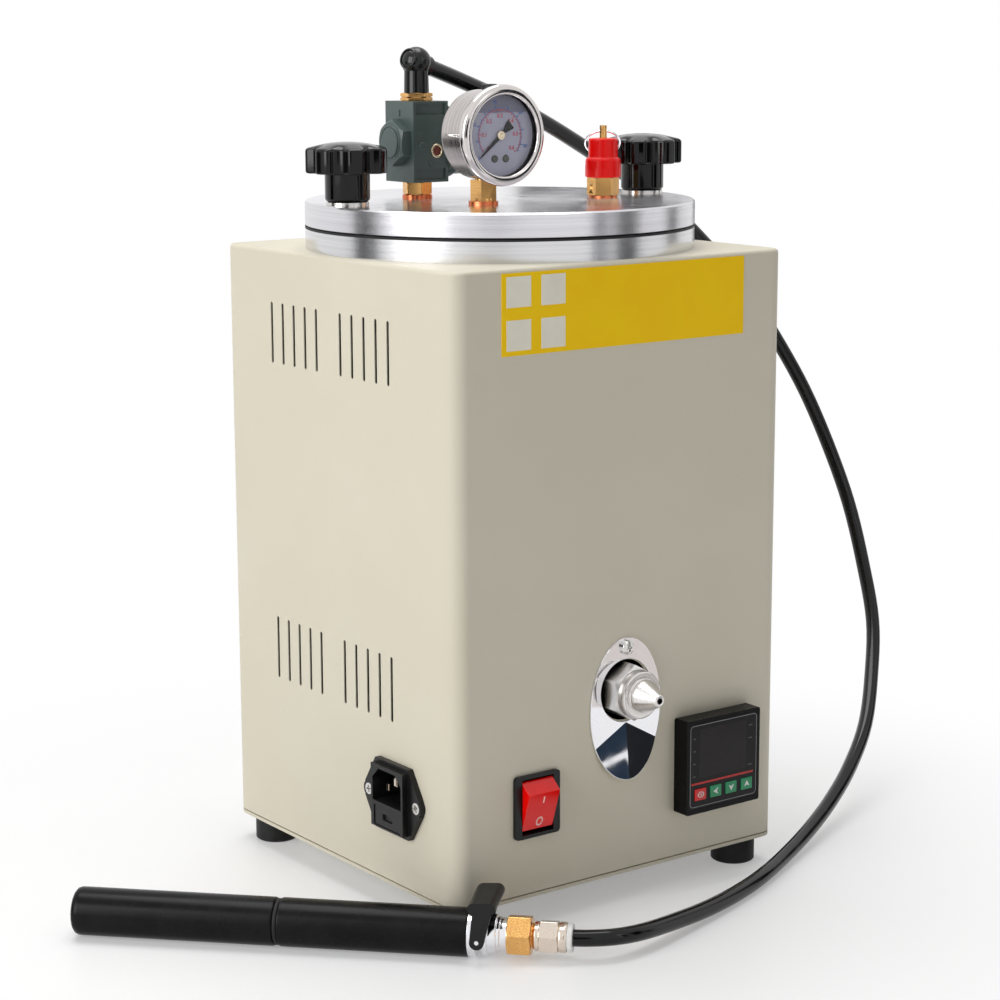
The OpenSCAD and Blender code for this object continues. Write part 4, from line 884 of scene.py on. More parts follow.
def turn_to_axis(tree, vector, centre, axis):
    """Object coordinates moved so that the axis of a round piece becomes local Z."""
    turn = Vector(axis).rotation_difference(Vector((0, 0, 1))).to_matrix()
    return add_node(
        tree,
        "ShaderNodeMapping",
        {"Vector": vector, "Rotation": turn.to_euler(), "Location": -(turn @ Vector(centre))},
    ).outputs[0]


# %% [markdown]
# Painted sheet steel. The coat is a matte warm beige-grey; its corners have rubbed a little lighter.


# %% Painted finishes
def painted(
    name, light, dark, rough, grain=1400.0, strength=0.25, worn=0.25, rubbed="#e8e4d8", coat=0.0, shine=0.5
):
    material, tree, shader, place = blank(
        name, Coat_Weight=coat, Coat_Roughness=0.12, Specular_IOR_Level=shine
    )
    skin = effect(tree, powder_grain, Vector=place, Scale=grain, Strength=strength)
    edges = effect(tree, edge_wear_and_highlight, Vector=place, Amount=worn)
    body = mix(tree, skin["Drift"], paint(light), paint(dark))
    tree.links.new(mix(tree, edges["Edge"], body, paint(rubbed)), shader.inputs["Base Color"])
    tree.links.new(remap(tree, skin["Pits"], rough - 0.05, rough + 0.07), shader.inputs["Roughness"])
    tree.links.new(skin["Normal"], shader.inputs["Normal"])
    return material


case_coat = painted("case_powder_coat", "#d6cfbc", "#d3ccb8", 0.5, strength=0.16)
tree = case_coat.node_tree
shader = tree.nodes["Principled BSDF"]
coated = shader.inputs["Base Color"].links[0].from_socket
case_place = add_node(tree, "ShaderNodeTexCoord").outputs["Object"]
inside = effect(tree, below_skin, Vector=case_place)
# Painted shade: deeper than the skin, the coat turns near-black, for the shade inside the vents.
tree.links.new(mix(tree, inside["Inside"], coated, paint("#0a0a0a")), shader.inputs["Base Color"])
regulator_coat = painted(
    "regulator_cast_coat", "#4c5b57", "#43514e", 0.34, grain=700.0, strength=0.3, worn=0.3, rubbed="#7f8d89"
)
red_coat = painted(
    "red_anodised", "#ff0200", "#f40000", 0.3, grain=2600.0, strength=0.04, worn=0.3, rubbed="#ff3a2a",
    coat=0.2, shine=0.2
)
needle_paint = painted(
    "needle_paint", "#0b0b0b", "#060606", 0.5, strength=0.1, worn=0.1, rubbed="#202020", shine=0.2
)
print("painted finishes ready")

# %% [markdown]
# Metals. All of them are one recipe: a base colour that shifts between two tones along the tool marks,
# roughness that follows the marks, and edges painted towards white, a painted highlight where they would catch
# the light. Round pieces get rings round their own axis, flat ones get brush lines.


# %% Metal finishes
def metal(name, light, dark, smooth_side, rough_side, axis=None, centre=(0, 0, 0), scale=900.0,
          strength=0.12, across=(2500.0, 60.0, 2500.0), edge_gain=0.25, anisotropic=0.0):
    material, tree, shader, place = blank(name, Metallic=1.0, Anisotropic=anisotropic)
    if axis:
        local = turn_to_axis(tree, place, centre, axis)
        marks = effect(tree, turned_rings, Vector=local, Scale=scale, Strength=strength)
        share = marks["Band"]
    else:
        marks = effect(tree, brush_lines, Vector=place, Across=across, Strength=strength)
        share = marks["Line"]
    if anisotropic:
        outward = add_node(
            tree, "ShaderNodeVectorMath", {0: place, 1: tuple(centre)}, operation="SUBTRACT"
        )
        along = add_node(
            tree, "ShaderNodeVectorMath", {0: tuple(axis), 1: outward.outputs[0]}, operation="CROSS_PRODUCT"
        )
        tree.links.new(along.outputs[0], shader.inputs["Tangent"])
    edges = effect(tree, edge_wear_and_highlight, Vector=place, Amount=edge_gain)
    haze = effect(tree, handling_haze, Vector=place, Scale=55.0, Clean=smooth_side, Hazy=rough_side)
    tone = mix(tree, share, paint(dark), paint(light))
    # Painted highlight: the metal's edges are painted towards white.
    tree.links.new(mix(tree, edges["Edge"], tone, paint("#ffffff")), shader.inputs["Base Color"])
    tree.links.new(haze["Roughness"], shader.inputs["Roughness"])
    tree.links.new(marks["Normal"], shader.inputs["Normal"])
    return material


UP = (0, 0, 1)
OUT_OF_FRONT = (0, -1, 0)
lid_metal = metal(
    "turned_lid_aluminium", "#dcdbdf", "#cfcdd2", 0.18, 0.23, UP, middle("lid"), 650.0, 0.03,
    edge_gain=0.05, anisotropic=0.7
)
pot_metal = metal(
    "turned_pot_aluminium", "#dbdbdd", "#cdcdcf", 0.19, 0.24, UP, middle("lid"), 650.0, 0.03,
    edge_gain=0.05, anisotropic=0.5
)
nozzle_metal = metal(
    "turned_nozzle_aluminium", "#e9e6e4", "#d2cecb", 0.2, 0.3, OUT_OF_FRONT, middle("nozzle"), 1600.0, 0.16
)
outlet_metal = metal(
    "milled_outlet_aluminium", "#e6e4e2", "#d2cfcc", 0.28, 0.36, strength=0.05,
    across=(300.0, 2500.0, 2500.0)
)
zinc = metal("bright_zinc_plate", "#dddbd8", "#c6c3bf", 0.18, 0.3, strength=0.05)
chrome = metal("polished_chrome", "#f0f0f3", "#e6e6ea", 0.02, 0.06, strength=0.005)
nickel = metal("nickel_plate", "#e4d8cc", "#d3c6b8", 0.1, 0.2, strength=0.03)
stainless = metal(
    "satin_stainless", "#c9c3c1", "#b4aeab", 0.24, 0.34, OUT_OF_FRONT, middle("gauge_case"), 1300.0, 0.08
)
polished_lip = metal(
    "polished_stainless", "#dcd7d5", "#cdc7c5", 0.08, 0.15, OUT_OF_FRONT, middle("gauge_case"), 1300.0, 0.02
)
band_steel = metal("dull_band_steel", "#b5b0a6", "#958f85", 0.35, 0.5)
drawn_metal = metal("drawn_aluminium", "#d2d2d4", "#b4b4b8", 0.2, 0.32)
brass = metal("machined_brass", "#efc07c", "#d59c55", 0.2, 0.3, strength=0.05)
pale_brass = metal("plated_brass", "#e3d5bb", "#cbb896", 0.2, 0.32, strength=0.05)
copper = metal("bare_copper", "#e8875a", "#c9653a", 0.22, 0.36, UP, middle("copper_washers"), 1200.0, 0.06)
print("metals ready")

# %% [markdown]
# Plastics and rubber. Moulded parts have a faint grain, and their gloss is broken by handling. Pure
# black is never used: even a black plastic shows a little grey where light grazes it.


# %% Plastic finishes
def moulded(
    name, light, dark, clean, hazy, grain=900.0, strength=0.06, coat=0.0, haze_scale=45.0, shine=0.5
):
    material, tree, shader, place = blank(
        name, Coat_Weight=coat, Coat_Roughness=0.06, Specular_IOR_Level=shine
    )
    skin = effect(tree, powder_grain, Vector=place, Scale=grain, Strength=strength)
    haze = effect(tree, handling_haze, Vector=place, Scale=haze_scale, Clean=clean, Hazy=hazy)
    tree.links.new(mix(tree, haze["Haze"], paint(dark), paint(light)), shader.inputs["Base Color"])
    tree.links.new(haze["Roughness"], shader.inputs["Roughness"])
    tree.links.new(skin["Normal"], shader.inputs["Normal"])
    return material


bakelite = moulded("glossy_bakelite", "#0c0c0d", "#050505", 0.07, 0.15, strength=0.02, shine=0.3)
black_gloss = moulded("glossy_black_plastic", "#18191b", "#0c0d0e", 0.14, 0.24, strength=0.03, shine=0.36)
hose_skin = moulded(
    "hose_polyurethane", "#121314", "#09090a", 0.12, 0.22, grain=500.0, strength=0.03, shine=0.3
)
black_satin = moulded("satin_black_plastic", "#161617", "#0d0d0e", 0.32, 0.44, strength=0.1, shine=0.3)
black_anodise = moulded(
    "satin_black_anodise", "#151516", "#0c0c0e", 0.24, 0.34, grain=1800.0, strength=0.04, shine=0.12
)
controller_black = moulded("controller_black", "#0a0a0b", "#040405", 0.22, 0.32, strength=0.05, shine=0.14)
switch_black = moulded("switch_black", "#18181a", "#0e0e10", 0.25, 0.35, strength=0.05, shine=0.3)
rubber = moulded("black_rubber", "#1f1f20", "#131314", 0.5, 0.66, grain=700.0, strength=0.2, shine=0.3)
white_plastic = moulded("satin_white_plastic", "#efeeec", "#e2e1de", 0.3, 0.42, strength=0.05)
red_key_plastic = moulded("red_key_plastic", "#e2251c", "#cf1c14", 0.32, 0.44, strength=0.08)
green_key_plastic = moulded("green_key_plastic", "#1f9a67", "#178556", 0.32, 0.44, strength=0.08)
film_black = moulded("controller_film", "#171516", "#100f10", 0.2, 0.3, strength=0.02, shine=0.2)
window_film = moulded("controller_window", "#231d1d", "#1b1717", 0.16, 0.24, strength=0.02, shine=0.22)
label_film = moulded(
    "yellow_label_film", "#ffd400", "#ffce00", 0.42, 0.5, grain=2200.0, strength=0.04, shine=0.2
)
label_pale = moulded("label_pale_field", "#f3efdf", "#ece7d4", 0.3, 0.4, grain=2200.0, strength=0.04)
plug_red = moulded("dark_red_plug", "#7c3122", "#5e2418", 0.35, 0.5, strength=0.1)
bronze_screw = moulded("dark_screw_head", "#4b4a38", "#33332a", 0.3, 0.45, strength=0.1)
print("plastics ready")

# %% [markdown]
# The rocker is clear red plastic with a lamp chamber behind it: the thick parts are deep red and the
# thin edges glow. Noise between two reds and a gloss coat stand for that depth.

# %% Rocker finish and printing inks
rocker_red = moulded(
    "clear_red_rocker", "#ff0a04", "#f00602", 0.1, 0.16, grain=300.0, strength=0.02, coat=0.25,
    haze_scale=70.0, shine=0.3
)
white_ink = moulded("white_ink", "#e9e9e6", "#d9d9d6", 0.4, 0.5, strength=0.02)
rose_ink = moulded("rocker_ink", "#ffe2dc", "#ffd2ca", 0.35, 0.45, strength=0.02)
grey_ink = moulded("grey_ink", "#8b8b8c", "#767678", 0.4, 0.5, strength=0.02)
faint_ink = moulded("faint_ink", "#4d4d4f", "#3f3f41", 0.4, 0.5, strength=0.02)
red_ink = moulded("red_ink", "#d22b3f", "#bd2236", 0.4, 0.5, strength=0.02)
red_line_ink = moulded("red_line_ink", "#c81a12", "#ad140d", 0.35, 0.45, strength=0.02)
blue_ink = moulded("blue_ink", "#3d6fb4", "#2f5fa3", 0.4, 0.5, strength=0.02)
print("rocker finish and inks ready")

# %% [markdown]
# The gauge is filled with a clear oil to just above its hub. Below that level the dial keeps a pale tone, and
# above it the dial is painted darker as painted shade, with a soft edge where the oil climbs the dial.

# %% Dial finish
OIL_LEVEL = middle("gauge_dial").z + 10.7 * MM
dial_face, tree, shader, place = blank("dial_enamel")
heights = add_node(tree, "ShaderNodeSeparateXYZ", {0: place})
ripple = add_node(tree, "ShaderNodeTexNoise", {"Vector": place, "Scale": 220.0, "Detail": 2.0})
sway = remap(tree, ripple.outputs[0], -0.25 * MM, 0.25 * MM, 0.3, 0.7)
level = add_node(tree, "ShaderNodeMath", {0: heights.outputs[2], 1: sway}, operation="ADD")
painted_shade_above_oil = add_node(
    tree, "ShaderNodeMapRange", {0: level.outputs[0], 1: OIL_LEVEL - 0.3 * MM, 2: OIL_LEVEL + 0.3 * MM}
).outputs[0]
haze = effect(tree, handling_haze, Vector=place, Scale=90.0, Clean=0.35, Hazy=0.45)
# Painted shade: a pale tone below the oil level and a darker copy of it above.
lit_dial_tone = mix(tree, haze["Haze"], paint("#b3b1c4"), paint("#a9a7ba"))
shaded_dial_tone = mix(tree, haze["Haze"], paint("#77768c"), paint("#6c6b80"))
tree.links.new(mix(tree, painted_shade_above_oil, lit_dial_tone, shaded_dial_tone), shader.inputs["Base Color"])
tree.links.new(haze["Roughness"], shader.inputs["Roughness"])
print("oil level", round(OIL_LEVEL, 4))

# %% [markdown]
# Glass bends light by its own shader. Only its roughness changes, where fingers have touched it.

# %% Gauge glass
gauge_glass, tree, shader, place = blank("gauge_glass", Transmission_Weight=1.0, IOR=1.45)
haze = effect(tree, handling_haze, Vector=place, Scale=60.0, Clean=0.0, Hazy=0.05)
tree.links.new(haze["Roughness"], shader.inputs["Roughness"])
shader.inputs["Base Color"].default_value = (0.97, 0.98, 0.99, 1)
print("glass ready")

# %% [markdown]
# CAD nodes whose shape is right keep it and take a finish.

# %% Finishes for the CAD nodes
CAD_FINISHES = {
    case_coat: "case_shell base_plate",
    rubber: "rubber_feet lid_gasket",
    zinc: "screws lid_studs knob_washers relief_spring nozzle_spring thermocouple pump_rod",
    lid_metal: "lid",
    pot_metal: "wax_pot",
    nozzle_metal: "nozzle",
    outlet_metal: "outlet_body",
    bakelite: "left_star_knob right_star_knob",
    copper: "copper_washers",
    brass: "brass_nipples gauge_socket relief_valve_body gauge_movement hex_union relief_pin",
    pale_brass: "gauge_port_plug",
    regulator_coat: "regulator_body regulator_end_cap regulator_bonnet",
    black_satin: "regulator_knob gauge_fill_plug mains_inlet fuse_drawer",
    controller_black: "controller_case",
    black_gloss: "hose_elbow pump_lever",
    stainless: "gauge_case gauge_bezel",
    gauge_glass: "gauge_glass",
    dial_face: "gauge_dial",
    needle_paint: "gauge_needle",
    red_coat: "relief_valve_cap",
    chrome: "drip_plate pump_head relief_ring",
    nickel: "hose_fitting inlet_pins",
    band_steel: "heater_band",
    switch_black: "switch_frame",
    rocker_red: "switch_rocker",
    film_black: "controller_faceplate",
    red_key_plastic: "set_key",
    green_key_plastic: "shift_key down_key up_key",
    label_film: "front_label",
    black_anodise: "pump_handle pump_sleeve",
    drawn_metal: "pump_barrel",
    white_plastic: "fitting_collar",
    hose_skin: "air_hose",
}
for finish, names in CAD_FINISHES.items():
    for name in names.split():
        CAD[name].data.materials.clear()
        CAD[name].data.materials.append(finish)
unfinished = set(CAD) - {n for names in CAD_FINISHES.values() for n in names.split()}
print("finishes", len(bpy.data.materials), "nodes without one:", sorted(unfinished))

# %% [markdown]
# The hose takes its finish here, its place goes into its mesh, and the CAD hose is hidden.

# %% Dress the hose
hose.data.materials.clear()
hose.data.materials.append(hose_skin)
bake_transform(hose)
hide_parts("air_hose")

# %% [markdown]
# ## Star knobs
# Pressed bakelite with seven lobes. The blank is turned first: neck, flat underside and a shallow
# dome. Then the vertices at one angle of every scallop are drawn in together, angle by angle, which
# gives round lobes with even faces all the way round.

# %% Star knobs
LOBES = 7
STEPS_PER_LOBE = 24
SCALLOP = (0.805, 0.808, 0.816, 0.832, 0.857, 0.897, 0.955, 0.988)
LOBED_FROM = 14.2
KNOB_PROFILE = [
    (0, 0), (9.2, 0), (9.9, 0.3), (10.7, 1.2), (10.85, 1.8), (10.85, 13.0), (11.1, 13.6), (11.8, 13.75),
    (18.8, 13.75), (19.6, 14.0), (20, 14.8), (20, 24.3), (19.7, 25.2), (19.0, 25.75), (18.0, 26.1),
    (13.7, 27.1), (11.0, 27.7), (8.0, 28.15), (4.0, 28.5), (0, 28.6),
]


def star_knob(name, centre, first_scallop):
    knob = lathe(name, KNOB_PROFILE, sides=LOBES * STEPS_PER_LOBE)
    pitch = 360 / (LOBES * STEPS_PER_LOBE)
    for step, reach in enumerate(SCALLOP):

        def at_this_step(place):
            angle = math.degrees(math.atan2(place.y, place.x))
            turn = round(angle / pitch) % STEPS_PER_LOBE
            far = place.xy.length > LOBED_FROM * MM
            return far and min(turn, STEPS_PER_LOBE - turn) == step

        draw_in(knob, at_this_step, (reach, reach, 1))
    smooth(knob, 40)
    return stand(knob, centre, turn=first_scallop)


KNOB_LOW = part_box("left_star_knob")[0].z
RIGHT_STUD = Vector((153.754, 16.554, 0)) * MM
LEFT_STUD = Vector((-13.064, 36.446, 0)) * MM
RIGHT_STUD.z = LEFT_STUD.z = KNOB_LOW
right_knob = star_knob("right_knob_moulding", RIGHT_STUD, -6.8)
left_knob = star_knob("left_knob_moulding", LEFT_STUD, 173.2)
dress(right_knob, "right_knob", "bakelite", bakelite, "right_star_knob")
dress(left_knob, "left_knob", "bakelite", bakelite, "left_star_knob")

# %% [markdown]
# ## Pressure gauge
# A satin can with a rolled, polished lip over a thick glass. Between glass and dial stands a black ring, a
# painted shade: it shows as the dark crescent inside the lip, where the can's inner wall lies in shade.
# Everything is turned round the axis that points out of the front, so local Z runs towards the viewer and the
# lip's face is at zero.

# %% Gauge can, lip and shade ring
GAUGE = Vector((42.345 * MM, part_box("gauge_bezel")[0].y, middle("gauge_bezel").z))
lip = lathe(
    "gauge_lip",
    [
        (19.2, -1.15), (19.25, -0.7), (19.5, -0.3), (20.0, -0.06), (20.6, 0), (21.9, -0.1), (22.4, -0.35),
        (22.7, -0.75), (23.3, -0.95), (23.75, -1.4), (24.0, -2.2), (24.0, -3.4), (23.8, -4.4),
        (23.3, -5.2), (22.8, -5.6), (22.8, -6.2), (22.4, -6.7), (21.9, -7.0), (21.35, -7.0),
        (21.35, -6.0), (22.0, -6.0), (22.0, -1.2), (19.2, -1.15),
    ],
    sides=128,
)
fit(lip, GAUGE, OUT_OF_FRONT, "lid_assembly", "stainless", polished_lip, "gauge_bezel")
can = lathe(
    "gauge_can",
    [
        (21.3, -3.4), (21.3, -22.0), (21.1, -23.0), (20.6, -23.7), (19.8, -24.1), (0, -24.1), (0, -23.3),
        (19.6, -23.3), (20.5, -22.4), (20.5, -3.4), (21.3, -3.4),
    ],
    sides=128,
)
fit(can, GAUGE, OUT_OF_FRONT, "lid_assembly", "stainless", stainless, "gauge_case")
# Painted shade: a black ring stands for the shade on the can's inner wall.
shade_ring = lathe(
    "gauge_shade_ring", [(19.3, -3.25), (21.0, -3.25), (21.0, -5.45), (19.3, -5.45), (19.3, -3.25)], sides=96
)
fit(shade_ring, GAUGE, OUT_OF_FRONT, "lid_assembly", "black_plastic", black_satin)

# %% [markdown]
# The printing on the dial is a thin layer of its own: rings, ticks and numbers that stand a twentieth
# of a millimetre proud. The red inner scale has the numbers 0 to 0.6 and the blue outer one 0 to 80,
# as plain pressure scales have. The angles run from the needle's rest at lower left.

# %% Dial printing
DIAL_FACE = -5.45
ZERO_ANGLE = 221.0
SWEEP = 262.0
INK_DEPTH = 0.05


def on_dial(share):
    """The angle on the dial, in degrees, of a share of the full scale."""
    return ZERO_ANGLE - SWEEP * share


def dial_point(radius, share, depth=DIAL_FACE):
    angle = math.radians(on_dial(share))
    return Vector((radius * math.cos(angle), radius * math.sin(angle), depth)) * MM


def tick(radius_in, radius_out, share, width):
    mark = block("tick", (0, 0, 0), (radius_out - radius_in, width, INK_DEPTH))
    mark.rotation_euler.z = math.radians(on_dial(share))
    mark.location = dial_point((radius_in + radius_out) / 2, share)
    settle(mark)
    return mark


def lettering(body, height, place, ink_depth=INK_DEPTH):
    """Plain figures or arrows as a thin solid, made a mesh before it is placed."""
    clear_selection()
    bpy.ops.object.text_add(location=(0, 0, 0))
    words = bpy.context.object
    words.data.body = body
    words.data.size = height * MM
    words.data.extrude = ink_depth * MM / 2
    words.data.offset = 0.02 * height * MM
    words.data.align_x = "CENTER"
    words.data.align_y = "CENTER"
    words.data.resolution_u = 2
    bpy.ops.object.convert(target="MESH")
    words = bpy.context.object
    words.location = place
    settle(words)
    return words


def scale_ring(radius, width, pieces=90):
    """A thin arc: a flat ring that is turned, with the part outside the scale cut away."""
    half = width / 2
    ring = lathe(
        "ring",
        [
            (radius - half, DIAL_FACE), (radius + half, DIAL_FACE),
            (radius + half, DIAL_FACE + INK_DEPTH), (radius - half, DIAL_FACE + INK_DEPTH),
            (radius - half, DIAL_FACE),
        ],
        sides=pieces,
    )

    def outside(place):
        angle = math.degrees(math.atan2(place.y, place.x)) % 360
        return 360 - SWEEP > (angle - ZERO_ANGLE) % 360 > 0

    pick(ring, outside)
    bpy.ops.mesh.delete(type="VERT")
    bpy.ops.object.mode_set(mode="OBJECT")
    turns = [(ZERO_ANGLE - math.degrees(math.atan2(v.co.y, v.co.x))) % 360 for v in ring.data.vertices]
    for end in (min(turns), max(turns)):
        pick(
            ring,
            lambda place, end=end: abs(
                (ZERO_ANGLE - math.degrees(math.atan2(place.y, place.x))) % 360 - end
            ) < 0.5,
        )
        bpy.ops.mesh.edge_face_add()
        bpy.ops.object.mode_set(mode="OBJECT")
    return ring


red_marks = [scale_ring(12.3, 0.24)]
red_marks += [tick(11.6 if i % 5 else 11.1, 12.3, i / 30, 0.3 if i % 5 else 0.45) for i in range(31)]
red_marks += [lettering(f"{i / 10:g}", 2.7, dial_point(9.2, i / 6)) for i in range(7)]
blue_marks = [scale_ring(12.8, 0.24)]
blue_marks += [tick(12.8, 13.5 if i % 2 else 14.4, i / 17.4, 0.3 if i % 2 else 0.45) for i in range(18)]
blue_marks += [lettering(f"{i * 20}", 2.4, dial_point(16.0, i * 20 / 87)) for i in range(5)]
red_print = join(red_marks, "dial_red_scale")
blue_print = join(blue_marks, "dial_blue_scale")
for printing, ink in ((red_print, red_ink), (blue_print, blue_ink)):
    stand(printing, GAUGE, OUT_OF_FRONT)
    dress(printing, "lid_assembly", "dial_white", ink)
screw_heads = []
for side in (-3.3, 3.3):
    head = lathe(
        "head", [(0, -5.48), (1.75, -5.48), (1.75, -4.9), (1.45, -4.6), (0, -4.5)], fillet=0.1, sides=32
    )
    slot = block("slot", (0, 0, -4.5), (3.8, 0.4, 0.4))
    carve(head, slot)
    head.location = (side * MM, -11 * MM, 0)
    settle(head)
    screw_heads.append(head)
dial_screws = join(screw_heads, "dial_screws")
fit(dial_screws, GAUGE, OUT_OF_FRONT, "lid_assembly", "black_paint", bronze_screw)

# %% [markdown]
# The needle is stamped from thin sheet: a slim pointer with a flared tail, on a small bright hub with
# a sunk centre. A thin bar is cut across and drawn in or out at its cuts and ends.

# %% Needle
BLADE_TOP = -4.45
BLADE_BOTTOM = -4.8
blade = block("needle_blade", (4, 0, (BLADE_TOP + BLADE_BOTTOM) / 2), (24, 2.2, BLADE_TOP - BLADE_BOTTOM))
edit_all(blade)
for cut_at in (-2.5, 0.0, 14.5):
    bpy.ops.mesh.select_all(action="SELECT")
    bpy.ops.mesh.bisect(plane_co=(cut_at * MM, 0, 0), plane_no=(1, 0, 0))
bpy.ops.object.mode_set(mode="OBJECT")
for station, share in ((16, 0.16), (14.5, 0.3), (-2.5, 0.72), (-8, 2.4)):
    draw_in(blade, lambda place, x=station: abs(place.x / MM - x) < 0.1, (1, share, 1))
bevel(blade, 0.08, 1)
stand(blade, GAUGE, OUT_OF_FRONT, ZERO_ANGLE)
dress(blade, "needle", "black_paint", needle_paint, "gauge_needle")
hub = lathe(
    "needle_hub",
    [
        (0, -5.2), (1.2, -5.2), (1.2, -4.8), (2.2, -4.7), (2.3, -4.2), (2.0, -3.9), (0.95, -3.85),
        (0.75, -4.15), (0, -4.2),
    ],
    fillet=0.15,
    sides=48,
)
fit(hub, GAUGE, OUT_OF_FRONT, "needle", "brass", pale_brass)

# %% [markdown]
# The filler plug is a ribbed rubber button on top of the can, seen as a small black knob behind the
# lip. The grooves between its ribs are two vertices of every four, drawn in a little.


# %% Filler plug
def between_ribs(place, sides):
    """True on two vertices of every four round a turned piece."""
    return round(math.degrees(math.atan2(place.y, place.x)) / (360 / sides)) % 4 < 2


plug_low, plug_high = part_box("gauge_fill_plug")
PLUG_RISE = (plug_high.z - plug_low.z) / MM
filler = lathe(
    "filler_button",
    [
        (0, 0), (3.4, 0), (3.4, PLUG_RISE - 2.6), (4.0, PLUG_RISE - 2.5), (4.0, PLUG_RISE - 0.6),
        (3.4, PLUG_RISE), (1.2, PLUG_RISE), (1.0, PLUG_RISE - 0.3), (0, PLUG_RISE - 0.3),
    ],
    fillet=0.25,
    sides=48,
)
draw_in(
    filler,
    lambda place: place.z / MM > PLUG_RISE - 2.3 and place.xy.length > 3.7 * MM and between_ribs(place, 48),
    (0.94, 0.94, 1),
)
stand(filler, (middle("gauge_fill_plug").x, middle("gauge_fill_plug").y, plug_low.z))
dress(filler, "lid_assembly", "black_plastic", black_satin, "gauge_fill_plug")

# %% [markdown]
# ## Relief valve
# A red two-step cap with rounded shoulders screws over a brass body. It is hollow, for the spring.

# %% Relief cap
RELIEF = Vector((117.245 * MM, 3.1 * MM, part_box("relief_valve_cap")[0].z))
cap = lathe(
    "relief_cap_turned",
    [
        (7.6, 0), (8.5, 0), (9.0, 0.6), (9.0, 4.6), (8.85, 8.4), (8.3, 9.4), (7.55, 9.9), (7.35, 10.6),
        (7.35, 18.3), (6.9, 19.2), (2.1, 19.2), (2.1, 17.4), (4.3, 17.4), (4.3, 5.0), (7.6, 5.0),
        (7.6, 0),
    ],
    fillet=0.35,
    sides=72,
)
stand(cap, RELIEF)
dress(cap, "lid_assembly", "red_anodise", red_coat, "relief_valve_cap")

# %% [markdown]
# ## Regulator
# The body is a casting, so its copy gets generous round edges. The end cap is a cast hexagon with a
# raised round face inside a groove.

# %% Regulator body and end cap
dress(softened("regulator_body", "regulator_casting", 0.7, 3), "lid_assembly", "regulator_enamel",
      regulator_coat, "regulator_body")
cap_low, cap_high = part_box("regulator_end_cap")
CAP_FOOT = Vector(
    (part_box("regulator_body")[0].x, middle("regulator_end_cap").y, middle("regulator_end_cap").z)
)
cap_turn = 0.0 if cap_high.z - cap_low.z > cap_high.y - cap_low.y else 30.0
cap_hexagon = hexagon("cap_hexagon", 20.3, -4.9, 5.6, cap_turn)
cap_face = lathe(
    "cap_face",
    [
        (0, 4.0), (8.7, 4.0), (8.7, 5.9), (8.3, 6.1), (7.9, 5.9), (7.7, 5.3), (7.3, 5.5), (7.1, 6.4),
        (0, 6.4),
    ],
    fillet=0.3,
    sides=64,
)
end_cap = join([cap_hexagon, cap_face], "regulator_end_cap_cast")
fit(end_cap, CAP_FOOT, (-1, 0, 0), "lid_assembly", "regulator_enamel", regulator_coat, "regulator_end_cap")

# %% [markdown]
# The bonnet on the far side is a turned casting with a flange. The hand knob goes over it and has fine
# grip ribs, with the grooves between them drawn in.

# %% Regulator bonnet and hand knob
BONNET_FOOT = Vector(
    (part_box("regulator_body")[1].x, middle("regulator_bonnet").y, middle("regulator_bonnet").z)
)
bonnet = lathe(
    "regulator_bonnet_cast",
    [
        (0, -7.8), (9.0, -7.8), (9.0, 0.0), (18.2, 0.0), (18.2, 5.6), (17.4, 6.2), (16.5, 6.4),
        (16.5, 22.0), (0, 22.0),
    ],
    fillet=0.8,
    sides=96,
)
fit(bonnet, BONNET_FOOT, (1, 0, 0), "lid_assembly", "regulator_enamel", regulator_coat, "regulator_bonnet")
hand_knob = lathe(
    "regulator_hand_knob",
    [
        (0, 10.2), (8.0, 10.2), (8.0, 22.3), (14.9, 22.3), (15.5, 23.4), (15.5, 38.6), (14.6, 40.0),
        (12.2, 40.3), (11.6, 39.5), (0, 39.5),
    ],
    fillet=0.4,
    sides=120,
)
draw_in(
    hand_knob,
    lambda place: 23.2 < place.z / MM < 38.9 and place.xy.length > 15.2 * MM and between_ribs(place, 120),
    (0.955, 0.955, 1),
)
fit(hand_knob, BONNET_FOOT, (1, 0, 0), "pressure_knob", "black_plastic", black_satin, "regulator_knob")

# %% [markdown]
# Small cast marks: a bar on the left face, a boss and an arrow by the gauge port on the front face.
# The port itself has a pale ring round a dark red plug.

# %% Marks and plug of the regulator
BODY_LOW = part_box("regulator_body")[0]
left_mark = block("left_mark", ((BODY_LOW.x / MM) - 0.1, 56.5, 379.5), (0.7, 1.0, 3.2), 0.25)
boss = lathe("boss", [(0, -0.4), (2.1, -0.4), (2.1, 0.25), (1.7, 0.45), (0, 0.45)], fillet=0.15, sides=32)
stand(boss, (36.4 * MM, BODY_LOW.y, 363.5 * MM), OUT_OF_FRONT)
arrow = lettering("\u25bc", 3.4, (0, 0, 0.1 * MM), ink_depth=0.5)
stand(arrow, (41.0 * MM, BODY_LOW.y, 354.3 * MM), OUT_OF_FRONT)
cast_marks = join([left_mark, boss, arrow], "regulator_cast_marks")
dress(cast_marks, "lid_assembly", "regulator_enamel", regulator_coat)
PORT = Vector((44.745 * MM, BODY_LOW.y, 361 * MM))
port_ring = lathe(
    "port_ring", [(2.3, -2.0), (3.5, -2.0), (3.5, 0.6), (3.2, 0.8), (2.5, 0.8), (2.3, 0.5), (2.3, -2.0)],
    fillet=0.12,
    sides=48,
)
fit(port_ring, PORT, OUT_OF_FRONT, "lid_assembly", "brass", pale_brass, "gauge_port_plug")
port_plug = lathe(
    "port_plug_red", [(0, -1.6), (2.25, -1.6), (2.25, 0.1), (1.9, 0.3), (0, 0.3)], fillet=0.12, sides=40
)
plug_slot = block("slot", (0, 0, 0.3), (5, 0.5, 0.7))
carve(port_plug, plug_slot)
fit(port_plug, PORT, OUT_OF_FRONT, "lid_assembly", "brass", plug_red)

# %% [markdown]
# ## Brass hexagons
# The nipple under the regulator, the thin double hexagon on top of it, the relief valve's body and
# the union at the pump are hexagon bars with turned ends. The spigots that go into the lid are plain,
# since nothing of them shows.

